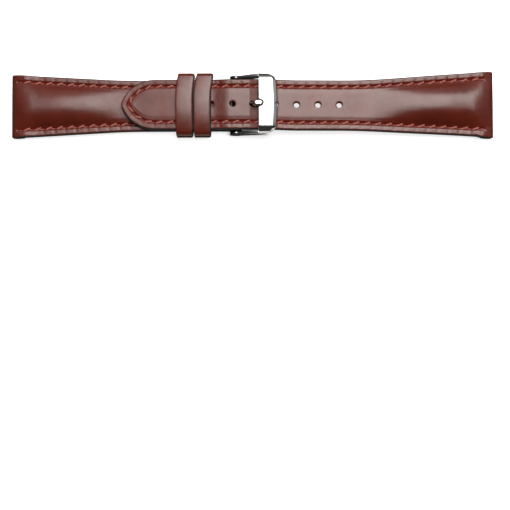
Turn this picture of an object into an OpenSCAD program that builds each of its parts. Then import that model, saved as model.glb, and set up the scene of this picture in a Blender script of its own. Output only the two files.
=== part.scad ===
// Two-piece padded leather watch strap, closed on its pin buckle.
// +X runs from the short piece's lug end to the long piece's lug end, +Y across the strap,
// +Z out of the strap's face. The origin is on the surface that the strap lies on, in its middle.

/* [Strap] */
// Width of each lug end, which fits between the watch's lugs
lug_w = 20; // [18:0.5:24]
// How much narrower the long piece is where it passes the buckle
narrowing = 4.3; // [2:0.1:6]
// How much wider than that the short piece is at the buckle
short_extra = 0.3; // [0:0.1:0.4]
// Length of the short piece, from its lug end to the buckle's spring bar
short_len = 70.7; // [64:0.1:90]
// Length of the long piece, from its lug end to its point
long_len = 117; // [110:0.5:140]
// Length over which the short piece narrows
short_taper = 36; // [28:1:44]
// Length over which the long piece narrows
long_taper = 42; // [32:1:50]
// Length of the long piece's point
point_len = 10.4; // [9:0.1:14]
// Radius that rounds the tip of the point
point_r = 2.9; // [2.7:0.1:4]

/* [Leather] */
// Thickness of the face leather
upper_t = 0.9; // [0.7:0.05:1.2]
// Thickness of the filler between the two leathers, away from the pad
filler_t = 0.4; // [0.3:0.05:0.8]
// Thickness of the lining leather
lining_t = 0.8; // [0.6:0.05:1.2]
// Thickness of the whole strap at the crown of its padded end
pad_t = 4.4; // [3.6:0.1:5.5]
// Length of the padded end
pad_len = 37; // [28:1:44]
// Length over which the pad rises to its full height
pad_rise = 26; // [15:1:28]
// Radius of the roll at the lug end, which the watch's spring bar passes through
roll_r = 2.2; // [2:0.05:2.6]
// Radius of the tunnel in that roll
lug_bore_r = 1; // [0.8:0.05:1.2]
// Length over which the face rounds down to the lug end
nose_len = 5; // [4.6:0.1:7]
// Length of the lug end, over which the edges thicken to the roll
lug_zone = 9; // [7:0.1:10]
// How far the face falls away at its edge
edge_fall = 0.55; // [0.3:0.05:0.7]
// Width of that rounded edge, at which the filler stops
edge_soft = 1.1; // [0.9:0.05:1.2]
// Thickness of the leather round the buckle's spring bar
fold_t = 0.8; // [0.6:0.05:1]
// Length of the leather that is folded back from there
fold_len = 5; // [4:0.1:6]

/* [Holes] */
// Diameter of the punched holes
hole_d = 2.2; // [2:0.1:2.6]
// Distance from hole to hole
hole_pitch = 6.7; // [6:0.1:8]
// Number of holes
hole_count = 8; // [6:1:9]
// Distance from the point to the first hole
first_hole = 21.35; // [19:0.05:26]
// Which hole the tongue is in, counted from the point
hole_used = 4; // [4:1:5]
// How far that hole is stretched towards the point
hole_wear = 0.5; // [0.4:0.05:1]

/* [Stitching] */
// Distance of the seam from the edge
seam_in = 2.2; // [1.7:0.05:2.25]
// Distance of the first stitch from the lug end
seam_start = 4; // [3.6:0.1:8]
// Length of one stitch and its gap
stitch_pitch = 3.4; // [2.6:0.1:4.5]
// Share of the pitch that the thread covers
stitch_share = 0.72; // [0.5:0.01:0.8]
// Diameter of the thread
thread_d = 0.5; // [0.35:0.05:0.6]
// Depth of the groove that the thread lies in
groove_depth = 0.3; // [0.1:0.05:0.4]
// Half the width of that groove
groove_half = 0.45; // [0.35:0.05:0.5]

/* [Keepers] */
// Width of a keeper along the strap
keeper_w = 5.3; // [4:0.1:6]
// Thickness of a keeper's leather
keeper_t = 1.2; // [0.9:0.05:1.5]
// Radius of a keeper's corners, on the outside
keeper_corner_r = 1.6; // [1.4:0.1:2.2]
// How far the top of a keeper falls from its middle to its sides
keeper_sag = 0.6; // [0.2:0.1:0.8]
// Distance from the spring bar to the middle of the fixed keeper
fixed_keeper_at = 10.5; // [9.5:0.1:12]
// Gap between the two keepers as they lie
keeper_apart = 0.3; // [0.2:0.1:4]
// Play beside the strap in a keeper
keeper_side_play = 0.7; // [0.2:0.05:0.9]
// Play above the strap in a keeper
keeper_top_play = 0.45; // [0.4:0.05:0.8]

/* [Buckle] */
// Play between the strap and each arm of the buckle
buckle_play = 0.45; // [0.3:0.05:1]
// Thickness of an arm
arm_t = 1.3; // [1:0.05:1.8]
// How much thinner an arm is at its eye
arm_thinning = 0.4; // [0:0.05:0.5]
// Radius of the eye at the end of an arm
ear_r = 1.9; // [1.6:0.05:2.1]
// Distance from the spring bar to the inner edge of the crossbar
bar_to_cross = 6.85; // [6.7:0.05:8]
// Width of the crossbar along the strap
cross_w = 5.9; // [5.5:0.1:7]
// Thickness of the crossbar
cross_t = 1.6; // [1.3:0.05:1.8]
// Radius of the crossbar's outer corners
cross_corner_r = 4.4; // [3.5:0.1:4.8]
// Radius of the crossbar's bowed outer edge
cross_bow_r = 60; // [40:1:100]
// Width of the bevel round the crossbar's outer edge
bevel_w = 1.3; // [0.8:0.1:1.6]
// Height of that bevel
bevel_h = 0.45; // [0.3:0.05:0.6]
// Height of the crossbar's ends, which are bent down to the arms
cross_side = 4.6; // [3.5:0.1:5]
// Outer radius of that bend
bend_r = 2.6; // [2:0.1:2.8]
// Radius round the underside of the crossbar's ends
cross_foot = 0.5; // [0.3:0.1:1]
// Radius of an arm's end under the crossbar
arm_end_r = 1.2; // [1:0.05:1.3]
// Depth of the notch that the tongue lies in
notch_depth = 0.8; // [0.5:0.05:0.85]
// Length of the tongue that lies on the crossbar
tongue_on = 1.5; // [1:0.1:2.5]
// Distance from the spring bar to the hole that the tongue passes through
tongue_reach = 5.55; // [5.4:0.05:5.7]
// Width of the tongue's shank
tongue_w = 1.7; // [1.2:0.1:1.8]
// Thickness of the tongue's shank
tongue_t = 0.9; // [0.7:0.05:1]
// Width of the tongue's eye
eye_w = 2.6; // [2:0.1:3]
// Outer radius of the tongue's eye
eye_r = 1.6; // [1.4:0.05:1.7]

/* [Spring bar] */
// Radius of the barrel
barrel_r = 0.9; // [0.8:0.05:0.95]
// Radius of the bore in the barrel
barrel_bore_r = 0.62; // [0.57:0.01:0.66]
// Radius of the stem of a pin
stem_r = 0.42; // [0.36:0.01:0.44]
// Radius of the tip of a pin, which sits in the arm's eye
tip_r = 0.45; // [0.35:0.01:0.5]
// Radius of the flange of a pin
flange_r = 0.75; // [0.6:0.05:0.8]
// Travel of each pin when it is pressed in
pin_travel = 0.9; // [0.7:0.05:1]
// Wire diameter of the spring inside the barrel
wire_d = 0.2; // [0.14:0.01:0.22]
// Pitch of the spring's coils
coil_pitch = 0.75; // [0.7:0.01:1]

/* [Hidden] */
$fn = 48;

// Finishes
leather = [0.42, 0.2, 0.16];
lining_leather = [0.36, 0.2, 0.14];
filler_felt = [0.62, 0.5, 0.4];
thread = [0.5, 0.25, 0.2];
polished = [0.8, 0.8, 0.82];
plain_steel = [0.62, 0.63, 0.65];

// Clearances
glue = 0.03;            // between two glued layers
seat = 0.05;            // where a thread or the tongue rests
running = 0.05;         // between a pin or a bar and its hole
tunnel_play = 0.1;      // between the barrel and the leather round it
lift = 0.05;            // from the surface to the keepers
keeper_under = 0.1;     // between a keeper and the lining
stack_gap = 0.4;        // between the short piece's face and the long piece's lining
fold_gap = 0.35;        // between the buckle fold and the long piece's lining
cross_gap = 0.8;        // between the long piece's face and the crossbar
end_gap = 0.1;          // where a layer ends against a roll or a fold
slot_play = 0.3;        // beside the tongue's eye in the fold
notch_play = 0.15;      // beside and before the tongue in its notch

tail_w = lug_w - narrowing;     // width of the long piece at the buckle
short_w = tail_w + short_extra; // width of the short piece at the buckle
buckle_w = tail_w + 2 * buckle_play;            // clear width between the buckle's arms
thin_t = lining_t + filler_t + upper_t;
under_z = lift + keeper_t + keeper_under;       // underside of the short piece
fold_bore_r = barrel_r + tunnel_play;
fold_r = fold_bore_r + fold_t;

// Places along the strap. The whole strap is centred on x = 0.
point_to_bar = first_hole + (hole_used - 1) * hole_pitch - tongue_reach;
bar_x = (short_len + point_to_bar - long_len) / 2;
short_lug_x = bar_x - short_len;
point_x = bar_x - point_to_bar;
long_lug_x = point_x + long_len;
used_hole_x = bar_x + tongue_reach;
cross_x = bar_x + bar_to_cross;
fixed_keeper_x = bar_x - fixed_keeper_at;
free_keeper_x = fixed_keeper_x - keeper_w - keeper_apart;
fold_x = bar_x - fold_len;

// Heights
bar_z = under_z + thin_t / 2;
tail_z = under_z + thin_t + stack_gap;                    // long lining over the short piece
hump_z = max(tail_z, bar_z + fold_r + fold_gap);          // long lining over the buckle fold
cross_z = hump_z + thin_t + cross_gap;                    // underside of the crossbar
cross_top = cross_z + cross_t;
notch_z = cross_top - notch_depth;

function clamp01(t) = max(0, min(1, t));
function smooth(t) = let (c = clamp01(t)) c * c * (3 - 2 * c);

// Half the width at u from the lug end. A taper ends softly, over this share of its length.
soft = 0.16;
function taper_left(t) = t <= 1 - soft ? 1 - t : t >= 1 + soft ? 0 : pow(1 + soft - t, 2) / (4 * soft);
function half_w(u, end_w, taper) = (end_w + (lug_w - end_w) * taper_left(u / taper)) / 2;

// Thickness over the seam and over the middle. The edges have their full height at a third of the
// lug end's length.
function seam_h(u) = let (share = smooth(1.5 * (1 - u / lug_zone)))
    thin_t + (2 * roll_r - under_z - thin_t) * share;
function middle_h(u) = thin_t + (pad_t - thin_t) * smooth((pad_len - u) / pad_rise);
function panel_h(u, f) = seam_h(u) + (middle_h(u) - seam_h(u)) * (1 - f * f);

// The face falls away at its edge and dips at the seam: [distance from the edge, drop]
panel_in = seam_in + groove_half;
edge_drop = [
    [0, edge_fall], [0.36 * edge_soft, 0.27 * edge_fall], [edge_soft, 0],
    [seam_in - groove_half, 0], [seam_in, groove_depth], [panel_in, 0]
];

// Points across a layer, from the edge to the middle: [distance from the edge, share of the panel]
panel_across = [for (f = [1, 0.7, 0.35, 0]) [panel_in, f]];
upper_across = concat([for (p = edge_drop) if (p[0] < panel_in) [p[0], 1]], panel_across);
filler_across = concat([[edge_soft, 1]], panel_across);
lining_across = [[0, 1], [panel_in, 1], [panel_in, 0]];

// Heights above the lining's underside: the face, and the underside of the face leather
function face_h(u, s, f) = panel_h(u, f) - lookup(s, edge_drop);
function bed_h(u, s, f) = s < edge_soft ? lining_t + glue : panel_h(u, f) - upper_t;

// The roll at the lug end: its face rounds down to the end, and its underside is a half circle
seat_u = 2 * roll_r;
function nose(u, z) = u >= nose_len ? z : roll_r + (z - roll_r) * sqrt(1 - pow(1 - u / nose_len, 2));
function roll_under(u) = roll_r - sqrt(max(0, roll_r * roll_r - pow(roll_r - u, 2)));

// The short piece's layers close on the fold round the buckle's bar
fold_meet = fold_r * 0.67;
fold_half = sqrt(fold_r * fold_r - fold_meet * fold_meet) - 0.05;
function fold_share(x) = clamp01((x - fold_x) / (fold_len - fold_meet));
short_top = function (x, u, s, f)
    nose(u, under_z + face_h(u, s, f) + (bar_z + fold_half - under_z - thin_t) * fold_share(x));
short_bed = function (x, u, s, f)
    u <= seat_u ? roll_under(u) :
    x >= fold_x ? under_z + (bar_z - fold_half - under_z) * fold_share(x) : under_z + bed_h(u, s, f);
short_filler_top = function (x, u, s, f) under_z + bed_h(u, s, f) - glue;
short_filler_bottom = function (x, u, s, f) under_z + lining_t + glue;
short_lining_top = function (x, u, s, f) under_z + lining_t;
short_lining_bottom = function (x, u, s, f) under_z;

// The long piece lies on the short one, climbs over the fold and comes down to its own lug end
climb_x = fixed_keeper_x + keeper_w / 2;
hump_x = bar_x - fold_r;
slope_x = used_hole_x + hole_d;
slope_end_x = long_lug_x - seat_u;
function long_under(x) =
    x < slope_x ? tail_z + (hump_z - tail_z) * smooth((x - climb_x) / (hump_x - climb_x)) :
    hump_z + (under_z - hump_z) * clamp01((x - slope_x) / (slope_end_x - slope_x));
long_top = function (x, u, s, f) nose(u, long_under(x) + face_h(u, s, f));
long_bed = function (x, u, s, f) u <= seat_u ? roll_under(u) : long_under(x) + bed_h(u, s, f);
long_filler_top = function (x, u, s, f) long_under(x) + bed_h(u, s, f) - glue;
long_filler_bottom = function (x, u, s, f) long_under(x) + lining_t + glue;
long_lining_top = function (x, u, s, f) long_under(x) + lining_t;
long_lining_bottom = function (x, u, s, f) long_under(x);

// The point's outline: two side arcs that meet a small nose arc
point_w = tail_w / 2;
side_r = (pow(point_len - point_r, 2) + pow(point_w, 2) - pow(point_r, 2)) / (2 * (point_w - point_r));
turn = atan2(point_len - point_r, side_r - point_w);  // how far a side arc turns
last_turn = 78;                                 // the nose is flat between the last two stations

// A station is [x, half width, direction of the inward normal [x, y], distance from the lug end]
function short_station(u) = [short_lug_x + u, half_w(u, short_w, short_taper), [0, -1], u];
function long_station(u) = [long_lug_x - u, half_w(u, tail_w, long_taper), [0, -1], u];
function side_station(a) = let (s = point_len - side_r * sin(a))
    [point_x + s, point_w - side_r * (1 - cos(a)), [sin(a), -cos(a)], long_len - s];
function nose_station(a) = let (s = point_r * (1 - sin(a)))
    [point_x + s, point_r * cos(a), [sin(a), -cos(a)], long_len - s];

// Distances from the lug end at which stations lie
step = 0.02;                                    // where a layer's underside steps
roll_step = 1;
shoulder_step = 1.3;
body_start = 2;                                 // from the lug zone to the first station after it
body_step = 3.4;
climb_step = 1;
function spread(from, to, gap) =
    let (n = ceil(abs(to - from) / gap)) [for (i = [0 : n]) from + (to - from) * i / n];
roll_us = concat([for (a = [12, 30, 50, 70, 90, 110, 130, 150, 168]) roll_r * (1 - cos(a))], [seat_u]);
shoulder_us = spread(seat_u + roll_step, lug_zone, shoulder_step);
function pad_us(taper) = concat(shoulder_us, spread(lug_zone + body_start, taper * (1 + soft), body_step));
climb_us = concat([long_lug_x - slope_x], [for (x = spread(hump_x, climb_x, climb_step)) long_lug_x - x]);
point_stations = concat(
    [long_station(long_len - point_len)],
    [for (i = [1 : 5]) side_station(turn * i / 5)],
    [for (i = [1 : 3]) nose_station(turn + (last_turn - turn) * i / 3)]
);
fold_u = short_len - fold_len;

// A layer of the strap: a closed skin between a top and a bottom height, drawn through stations.
// top and bottom are functions of [x, distance from the lug end, distance from the edge, panel share].
module layer(stations, across, top, bottom, pointed = false) {
    half = len(across);
    n = 2 * half - 1;
    m = 2 * n;
    function spot(st, k) =
        let (c = k < half ? across[k] : across[n - 1 - k], side = k < half ? 1 : -1)
        [st[0] + st[2][0] * c[0], side * (st[1] + st[2][1] * c[0]) * c[1], c[0], c[1]];
    function ring(st) = [
        for (k = [0 : n - 1]) let (p = spot(st, k)) [p[0], p[1], top(p[0], st[3], p[2], p[3])],
        for (k = [n - 1 : -1 : 0]) let (p = spot(st, k)) [p[0], p[1], bottom(p[0], st[3], p[2], p[3])]
    ];
    last = (len(stations) - 1) * m;
    // Top and bottom are cut along the same diagonals, so two layers keep their gap between stations.
    sides = [
        for (i = [0 : len(stations) - 2], k = [0 : m - 1])
            let (a = i * m + k, b = i * m + (k + 1) % m)
                each k < n ? [[a, b, a + m], [b, b + m, a + m]] : [[a, b, b + m], [a, b + m, a + m]]
    ];
    start = [for (k = [0 : n - 2]) each [[k, m - 1 - k, k + 1], [k + 1, m - 1 - k, m - 2 - k]]];
    blunt_end = [
        for (k = [0 : n - 2]) let (a = last + k, b = last + m - 1 - k)
            each [[a, a + 1, b], [a + 1, b - 1, b]]
    ];
    // The panel's points lie on one line in the last ring, so a fan closes that part.
    e = len([for (c = across) if (c[0] < panel_in) c]) - 1;
    pointed_end = [
        for (o = [last, last + n]) each concat(
            [for (k = [0 : 1 : e - 1]) each
                [[o + k, o + k + 1, o + n - 1 - k], [o + k + 1, o + n - 2 - k, o + n - 1 - k]]],
            [for (k = [e + 1 : n - 2 - e]) [o + e, o + k, o + k + 1]]
        ),
        [last, last + n - 1, last + n],
        [last, last + n, last + m - 1]
    ];
    faces = concat(sides, start, pointed ? pointed_end : blunt_end);
    backwards = stations[1][0] < stations[0][0];
    polyhedron([for (st = stations) each ring(st)], backwards ? faces : [for (f = faces) [f[0], f[2], f[1]]]);
}

// A cylinder along Y, centred on y
module along_y(x, z, r, length, y = 0) {
    translate([x, y, z]) rotate([90, 0, 0]) cylinder(h = length, r = r, center = true);
}

// The punched holes. The one in use is stretched towards the point.
module holes() {
    depth = 30;
    for (i = [0 : hole_count - 1])
        translate([point_x + first_hole + i * hole_pitch, 0, 0]) cylinder(h = depth, d = hole_d);
    translate([used_hole_x - hole_wear, 0, 0]) cylinder(h = depth, d = hole_d);
    translate([used_hole_x - hole_wear, -hole_d / 2, 0]) cube([hole_wear, hole_d, depth]);
}

module short_upper() {
    stations = [for (u = concat(
        roll_us, [seat_u + step], pad_us(short_taper),
        [fold_u - step, fold_u, short_len - fold_meet]
    )) short_station(u)];
    slot_w = eye_w + 2 * slot_play;
    slot_from = bar_x - fold_r - slot_play;
    color(leather) difference() {
        union() {
            layer(stations, upper_across, short_top, short_bed);
            along_y(bar_x, bar_z, fold_r, short_w);
        }
        along_y(short_lug_x + roll_r, roll_r, lug_bore_r, 2 * lug_w);
        along_y(bar_x, bar_z, fold_bore_r, 2 * lug_w);
        translate([slot_from, -slot_w / 2, 0]) cube([3 * fold_r, slot_w, 3 * fold_r]);
    }
}

short_inner = [
    for (u = concat([seat_u + end_gap], pad_us(short_taper), [fold_u - end_gap])) short_station(u)
];

module short_padding() {
    color(filler_felt) layer(short_inner, filler_across, short_filler_top, short_filler_bottom);
}

module short_lining() {
    color(lining_leather) layer(short_inner, lining_across, short_lining_top, short_lining_bottom);
}

module long_upper() {
    stations = concat(
        [for (u = concat(roll_us, [seat_u + step], pad_us(long_taper), climb_us)) long_station(u)],
        point_stations
    );
    color(leather) difference() {
        layer(stations, upper_across, long_top, long_bed, pointed = true);
        along_y(long_lug_x - roll_r, roll_r, lug_bore_r, 2 * lug_w);
        holes();
    }
}

long_inner = concat(
    [for (u = concat([seat_u + end_gap], pad_us(long_taper), climb_us)) long_station(u)],
    point_stations
);

module long_padding() {
    color(filler_felt) difference() {
        layer(long_inner, filler_across, long_filler_top, long_filler_bottom, pointed = true);
        holes();
    }
}

module long_lining() {
    color(lining_leather) difference() {
        layer(long_inner, lining_across, long_lining_top, long_lining_bottom, pointed = true);
        holes();
    }
}

// Stitches. Each lies in the groove and is lifted where the leather between its ends is crowned.
thread_r = thread_d / 2;
thread_rise = (thread_r + seat) / cos(atan(groove_depth / groove_half));
stitch_end = 0.35;                              // length over which a stitch narrows
module stitch(p, middle, q) {
    v = q - p;
    length = norm(v);
    crown = max(0, middle[2] - (p[2] + q[2]) / 2);
    translate(p + [0, 0, crown]) rotate([0, acos(v[2] / length), atan2(v[1], v[0])])
        rotate_extrude() polygon([
            [0, 0], [thread_r * 0.6, 0], [thread_r, stitch_end],
            [thread_r, length - stitch_end], [thread_r * 0.6, length], [0, length]
        ]);
}

function short_seam(u, side) = let (st = short_station(u))
    [st[0], side * (st[1] - seam_in), short_top(st[0], u, seam_in, 1) + thread_rise];

module short_thread(side) {
    count = floor((fold_u - seam_start) / stitch_pitch);
    length = stitch_pitch * stitch_share;
    for (i = [0 : count - 1]) {
        u = seam_start + i * stitch_pitch;
        stitch(short_seam(u, side), short_seam(u + length / 2, side), short_seam(u + length, side));
    }
}

module short_thread_left() {
    color(thread) short_thread(1);
}

module short_thread_right() {
    color(thread) short_thread(-1);
}

// The long piece's seam runs down its left edge, round the point and back up the right edge.
straight_seam = long_len - point_len - seam_start;
side_seam = (side_r - seam_in) * turn * PI / 180;
full_turn = 90;                                 // the seam's direction at the tip, from its start
nose_seam = (point_r - seam_in) * (full_turn - turn) * PI / 180;
half_seam = straight_seam + side_seam + nose_seam;
function seam_angle(d, r) = d / r * 180 / PI;
function long_seam(t) =
    let (
        side = t <= half_seam ? 1 : -1,
        d = side > 0 ? t : 2 * half_seam - t,
        st = d < straight_seam ? long_station(seam_start + d) :
            d < straight_seam + side_seam ? side_station(seam_angle(d - straight_seam, side_r - seam_in)) :
            nose_station(turn + seam_angle(d - straight_seam - side_seam, point_r - seam_in)),
        x = st[0] + st[2][0] * seam_in
    )
    [x, side * (st[1] + st[2][1] * seam_in), long_top(x, st[3], seam_in, 1) + thread_rise];

module long_thread() {
    count = 2 * round(half_seam / stitch_pitch);
    pitch = 2 * half_seam / count;
    length = pitch * stitch_share;
    color(thread) for (i = [0 : count - 1]) {
        t = i * pitch + (pitch - length) / 2;
        stitch(long_seam(t), long_seam(t + length / 2), long_seam(t + length));
    }
}

// A keeper is a leather loop, round the short piece and the tail that lies on it.
module rounded(width, low, high, r) {
    for (y = [-1, 1], z = [low + r, high - r]) translate([y * (width / 2 - r), z]) circle(r);
    translate([-width / 2 + r, low]) square([width - 2 * r, high - low]);
    translate([-width / 2, low + r]) square([width, high - low - 2 * r]);
}

// The section of a keeper's outside or inside, whose top is an arch that falls by sag to its sides
module arched(width, low, high, r, sag) {
    arch_r = (pow(width / 2, 2) + sag * sag) / (2 * sag);
    intersection() {
        rounded(width, low, high, r);
        translate([0, high - arch_r]) circle(arch_r, $fn = 360);
    }
}

module keeper(x) {
    inner_w = max(short_w, tail_w) + 2 * keeper_side_play;
    inner_top = tail_z + thin_t + keeper_top_play;
    inner_r = keeper_corner_r - keeper_t;
    translate([x - keeper_w / 2, 0, 0]) rotate([90, 0, 90]) linear_extrude(keeper_w) difference() {
        arched(inner_w + 2 * keeper_t, lift, inner_top + keeper_t, keeper_corner_r, keeper_sag);
        arched(inner_w, lift + keeper_t, inner_top, inner_r, keeper_sag / 2);
    }
}

module fixed_keeper() {
    color(leather) keeper(fixed_keeper_x);
}

module free_keeper() {
    color(leather) keeper(free_keeper_x);
}

// The buckle's frame: two arms that climb from their eyes to a wide crossbar, whose ends are bent
// down to meet them. Its section across the strap is an upside-down U.
outer_w = buckle_w + 2 * arm_t;
side_z = cross_top - cross_side;                // underside of the crossbar's bent ends
arm_end = [cross_x + arm_end_r, side_z + arm_end_r];

// A plate between two circles, with its sides tangent to both, standing in the XZ plane
module link(p, r, q, s, thickness) {
    v = q - p;
    along = atan2(v[1], v[0]);
    lean = acos((r - s) / norm(v));
    rotate([90, 0, 0]) linear_extrude(thickness, center = true) {
        translate(p) circle(r);
        translate(q) circle(s);
        polygon([
            p + r * [cos(along + lean), sin(along + lean)], p + r * [cos(along - lean), sin(along - lean)],
            q + s * [cos(along - lean), sin(along - lean)], q + s * [cos(along + lean), sin(along + lean)]
        ]);
    }
}

// The crossbar's outline, drawn in by inset along its sides and its bowed outer edge
bow_x = cross_x + cross_w - cross_bow_r;
corner_y = outer_w / 2 - cross_corner_r;
corner_x = bow_x + sqrt(pow(cross_bow_r - cross_corner_r, 2) - corner_y * corner_y);
bow_angle = asin(corner_y / (cross_bow_r - cross_corner_r));
function corner_arc(inset, side) = [
    for (i = [0 : 6]) let (a = side * (bow_angle + (90 - bow_angle) * i / 6), r = cross_corner_r - inset)
        [corner_x + r * cos(a), side * corner_y + r * sin(a)]
];
function bow_arc(inset) = [
    for (i = [-3 : 3]) let (a = bow_angle * i / 4, r = cross_bow_r - inset) [bow_x + r * cos(a), r * sin(a)]
];
function reversed(points) = [for (i = [len(points) - 1 : -1 : 0]) points[i]];
function cross_outline(inset) = concat(
    [[cross_x, inset - outer_w / 2]], reversed(corner_arc(inset, -1)), bow_arc(inset),
    corner_arc(inset, 1), [[cross_x, outer_w / 2 - inset]]
);

// The block that the crossbar is cut from. Its bevel is a quarter of an ellipse, and so is its foot:
// each level is [how far the outline is drawn in, height].
module cross_block() {
    levels = concat(
        [for (a = [90 : -30 : 30]) [cross_foot * (1 - cos(a)), side_z + cross_foot * (1 - sin(a))]],
        [for (a = [0 : 22.5 : 90]) [bevel_w * (1 - cos(a)), cross_top - bevel_h * (1 - sin(a))]]
    );
    outlines = [for (level = levels) [for (p = cross_outline(level[0])) [p[0], p[1], level[1]]]];
    n = len(outlines[0]);
    last = (len(levels) - 1) * n;
    polyhedron(
        [for (outline = outlines) each outline],
        concat(
            [[for (k = [0 : n - 1]) k]],
            [for (i = [0 : len(levels) - 2], k = [0 : n - 1]) let (a = i * n + k, b = i * n + (k + 1) % n)
                each [[a, a + n, b], [b, a + n, b + n]]],
            [[for (k = [n - 1 : -1 : 0]) last + k]]
        )
    );
}

// The frame's section across the strap, from below the eyes to the crossbar's top
module frame_section() {
    length = bar_to_cross + cross_w + 4 * ear_r;
    translate([bar_x - 2 * ear_r, 0, 0]) rotate([90, 0, 90]) linear_extrude(length) difference() {
        rounded(outer_w, -cross_top, cross_top, bend_r);
        rounded(buckle_w, -2 * cross_top, cross_z, bend_r - arm_t);
    }
}

// The frame's outline from above: the arms' outer sides draw in from the crossbar to the eyes
module frame_plan() {
    eye_y = outer_w / 2 - arm_thinning;
    sides = [[bar_x - 2 * ear_r, eye_y], [bar_x + ear_r, eye_y], [cross_x, outer_w / 2],
        [cross_x + 2 * cross_w, outer_w / 2]];
    linear_extrude(2 * cross_top)
        polygon(concat(sides, reversed([for (p = sides) [p[0], -p[1]]])));
}

module buckle_frame() {
    notch_w = tongue_w + 2 * notch_play;
    notch_end = cross_x + tongue_on + notch_play - notch_w / 2;
    color(polished) difference() {
        intersection() {
            union() {
                for (side = [-1, 1]) translate([0, side * (buckle_w + arm_t) / 2, 0])
                    link([bar_x, bar_z], ear_r, arm_end, arm_end_r, arm_t);
                cross_block();
            }
            frame_section();
            frame_plan();
        }
        along_y(bar_x, bar_z, tip_r + running, 2 * outer_w);
        translate([notch_end, 0, notch_z]) cylinder(h = cross_t, d = notch_w);
        translate([cross_x - notch_w, -notch_w / 2, notch_z])
            cube([notch_end - cross_x + notch_w, notch_w, cross_t]);
    }
}

// The tongue leaves its eye below the long piece, turns up through the hole and lies in the notch.
low_bend_r = 1.2;
high_bend_r = 0.85;
tip_z = notch_z + seat + tongue_t / 2;
tip_x = cross_x + tongue_on;

// A quarter of a ring of the shank's thickness, from the given angle on
module bend(center, r, from) {
    translate(center) rotate(from) intersection() {
        difference() {
            circle(r + tongue_t / 2);
            circle(r - tongue_t / 2);
        }
        square(2 * r);
    }
}

module buckle_tongue() {
    riser_from = bar_z + low_bend_r;
    riser_to = tip_z - high_bend_r;
    shank_to = used_hole_x - low_bend_r;
    tip_from = used_hole_x + high_bend_r;
    tip_cut = tip_x - tongue_w / 2;                 // where the tip's round end starts
    color(polished) difference() {
        union() {
            along_y(bar_x, bar_z, eye_r, eye_w);
            intersection() {
                rotate([90, 0, 0]) linear_extrude(tongue_w, center = true) {
                    translate([bar_x, bar_z - tongue_t / 2]) square([shank_to - bar_x, tongue_t]);
                    bend([shank_to, riser_from], low_bend_r, 270);
                    translate([used_hole_x - tongue_t / 2, riser_from])
                        square([tongue_t, riser_to - riser_from]);
                    bend([tip_from, riser_to], high_bend_r, 90);
                    translate([tip_from, tip_z - tongue_t / 2]) square([tip_x - tip_from, tongue_t]);
                }
                union() {
                    translate([bar_x, -tongue_w / 2, 0]) cube([tip_cut - bar_x, tongue_w, 2 * tip_z]);
                    translate([tip_cut, 0, 0]) cylinder(h = 2 * tip_z, d = tongue_w);
                }
            }
        }
        along_y(bar_x, bar_z, barrel_r + running, 2 * eye_w);
    }
}

// The spring bar: a barrel with a spring inside that pushes a flanged pin out of each end
lip_len = 0.5;
lip_r = stem_r + running;
flange_t = 0.3;
flange_gap = 0.1;       // between a flange and the arm, and between it and the barrel when pressed in
flange_out = buckle_w / 2 - flange_gap;
flange_in = flange_out - flange_t;
barrel_half = flange_in - pin_travel - flange_gap;
head_r = barrel_bore_r - running;
head_len = 1;
head_out = barrel_half - lip_len - running;
head_in = head_out - head_len;
tip_len = pin_travel - flange_gap;
tip_chamfer = 0.1;

module bar_barrel() {
    color(plain_steel) difference() {
        along_y(bar_x, bar_z, barrel_r, 2 * barrel_half);
        along_y(bar_x, bar_z, barrel_bore_r, 2 * (barrel_half - lip_len));
        along_y(bar_x, bar_z, lip_r, 3 * barrel_half);
    }
}

module bar_pin(side) {
    color(plain_steel) translate([bar_x, 0, bar_z]) rotate([-90 * side, 0, 0]) rotate_extrude() polygon([
        [0, head_in], [head_r, head_in], [head_r, head_out], [stem_r, head_out],
        [stem_r, flange_in], [flange_r, flange_in], [flange_r, flange_out], [tip_r, flange_out],
        [tip_r, flange_out + tip_len - tip_chamfer], [tip_r - tip_chamfer, flange_out + tip_len],
        [0, flange_out + tip_len]
    ]);
}

module bar_pin_left() {
    bar_pin(1);
}

module bar_pin_right() {
    bar_pin(-1);
}

// The spring's wire, one unbroken tube of six sides
coil_play = 0.07;                               // between the spring and the bore
coil_end_gap = 0.02;                            // between the spring and a pin
coil_r = barrel_bore_r - coil_play - wire_d / 2;
coil_half = head_in - coil_end_gap - wire_d / 2;
coil_rings = 8;                                 // rings in one turn
coil_steps = round(2 * coil_half / coil_pitch * coil_rings);
function coil_at(i) = let (a = 360 * i / coil_rings)
    [coil_r * cos(a), -coil_half + 2 * coil_half * i / coil_steps, coil_r * sin(a)];
function coil_ring(i) =
    let (
        a = 360 * i / coil_rings,
        out = [cos(a), 0, sin(a)],
        run = [-sin(a), 2 * coil_half / coil_steps * coil_rings / (2 * PI * coil_r), cos(a)],
        across = cross(run / norm(run), out)
    )
    [for (k = [0 : 5]) coil_at(i) + wire_d / 2 * (cos(60 * k) * out + sin(60 * k) * across)];
coil_points = [for (i = [0 : coil_steps]) coil_at(i)];
coil_gap = min([
    for (i = [0 : coil_steps], j = [i + coil_rings / 2 : 1 : coil_steps])
        norm(coil_points[i] - coil_points[j]) - wire_d
]);

module bar_spring() {
    echo("least gap of the spring's wire to itself, mm", coil_gap);
    last = 6 * coil_steps;
    color(plain_steel) translate([bar_x, 0, bar_z]) polyhedron(
        [for (i = [0 : coil_steps]) each coil_ring(i)],
        concat(
            [[for (k = [5 : -1 : 0]) k]],
            [for (i = [0 : coil_steps - 1], k = [0 : 5]) let (a = 6 * i + k, b = 6 * i + (k + 1) % 6)
                each [[a, b, a + 6], [b, b + 6, a + 6]]],
            [[for (k = [0 : 5]) last + k]]
        )
    );
}

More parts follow.
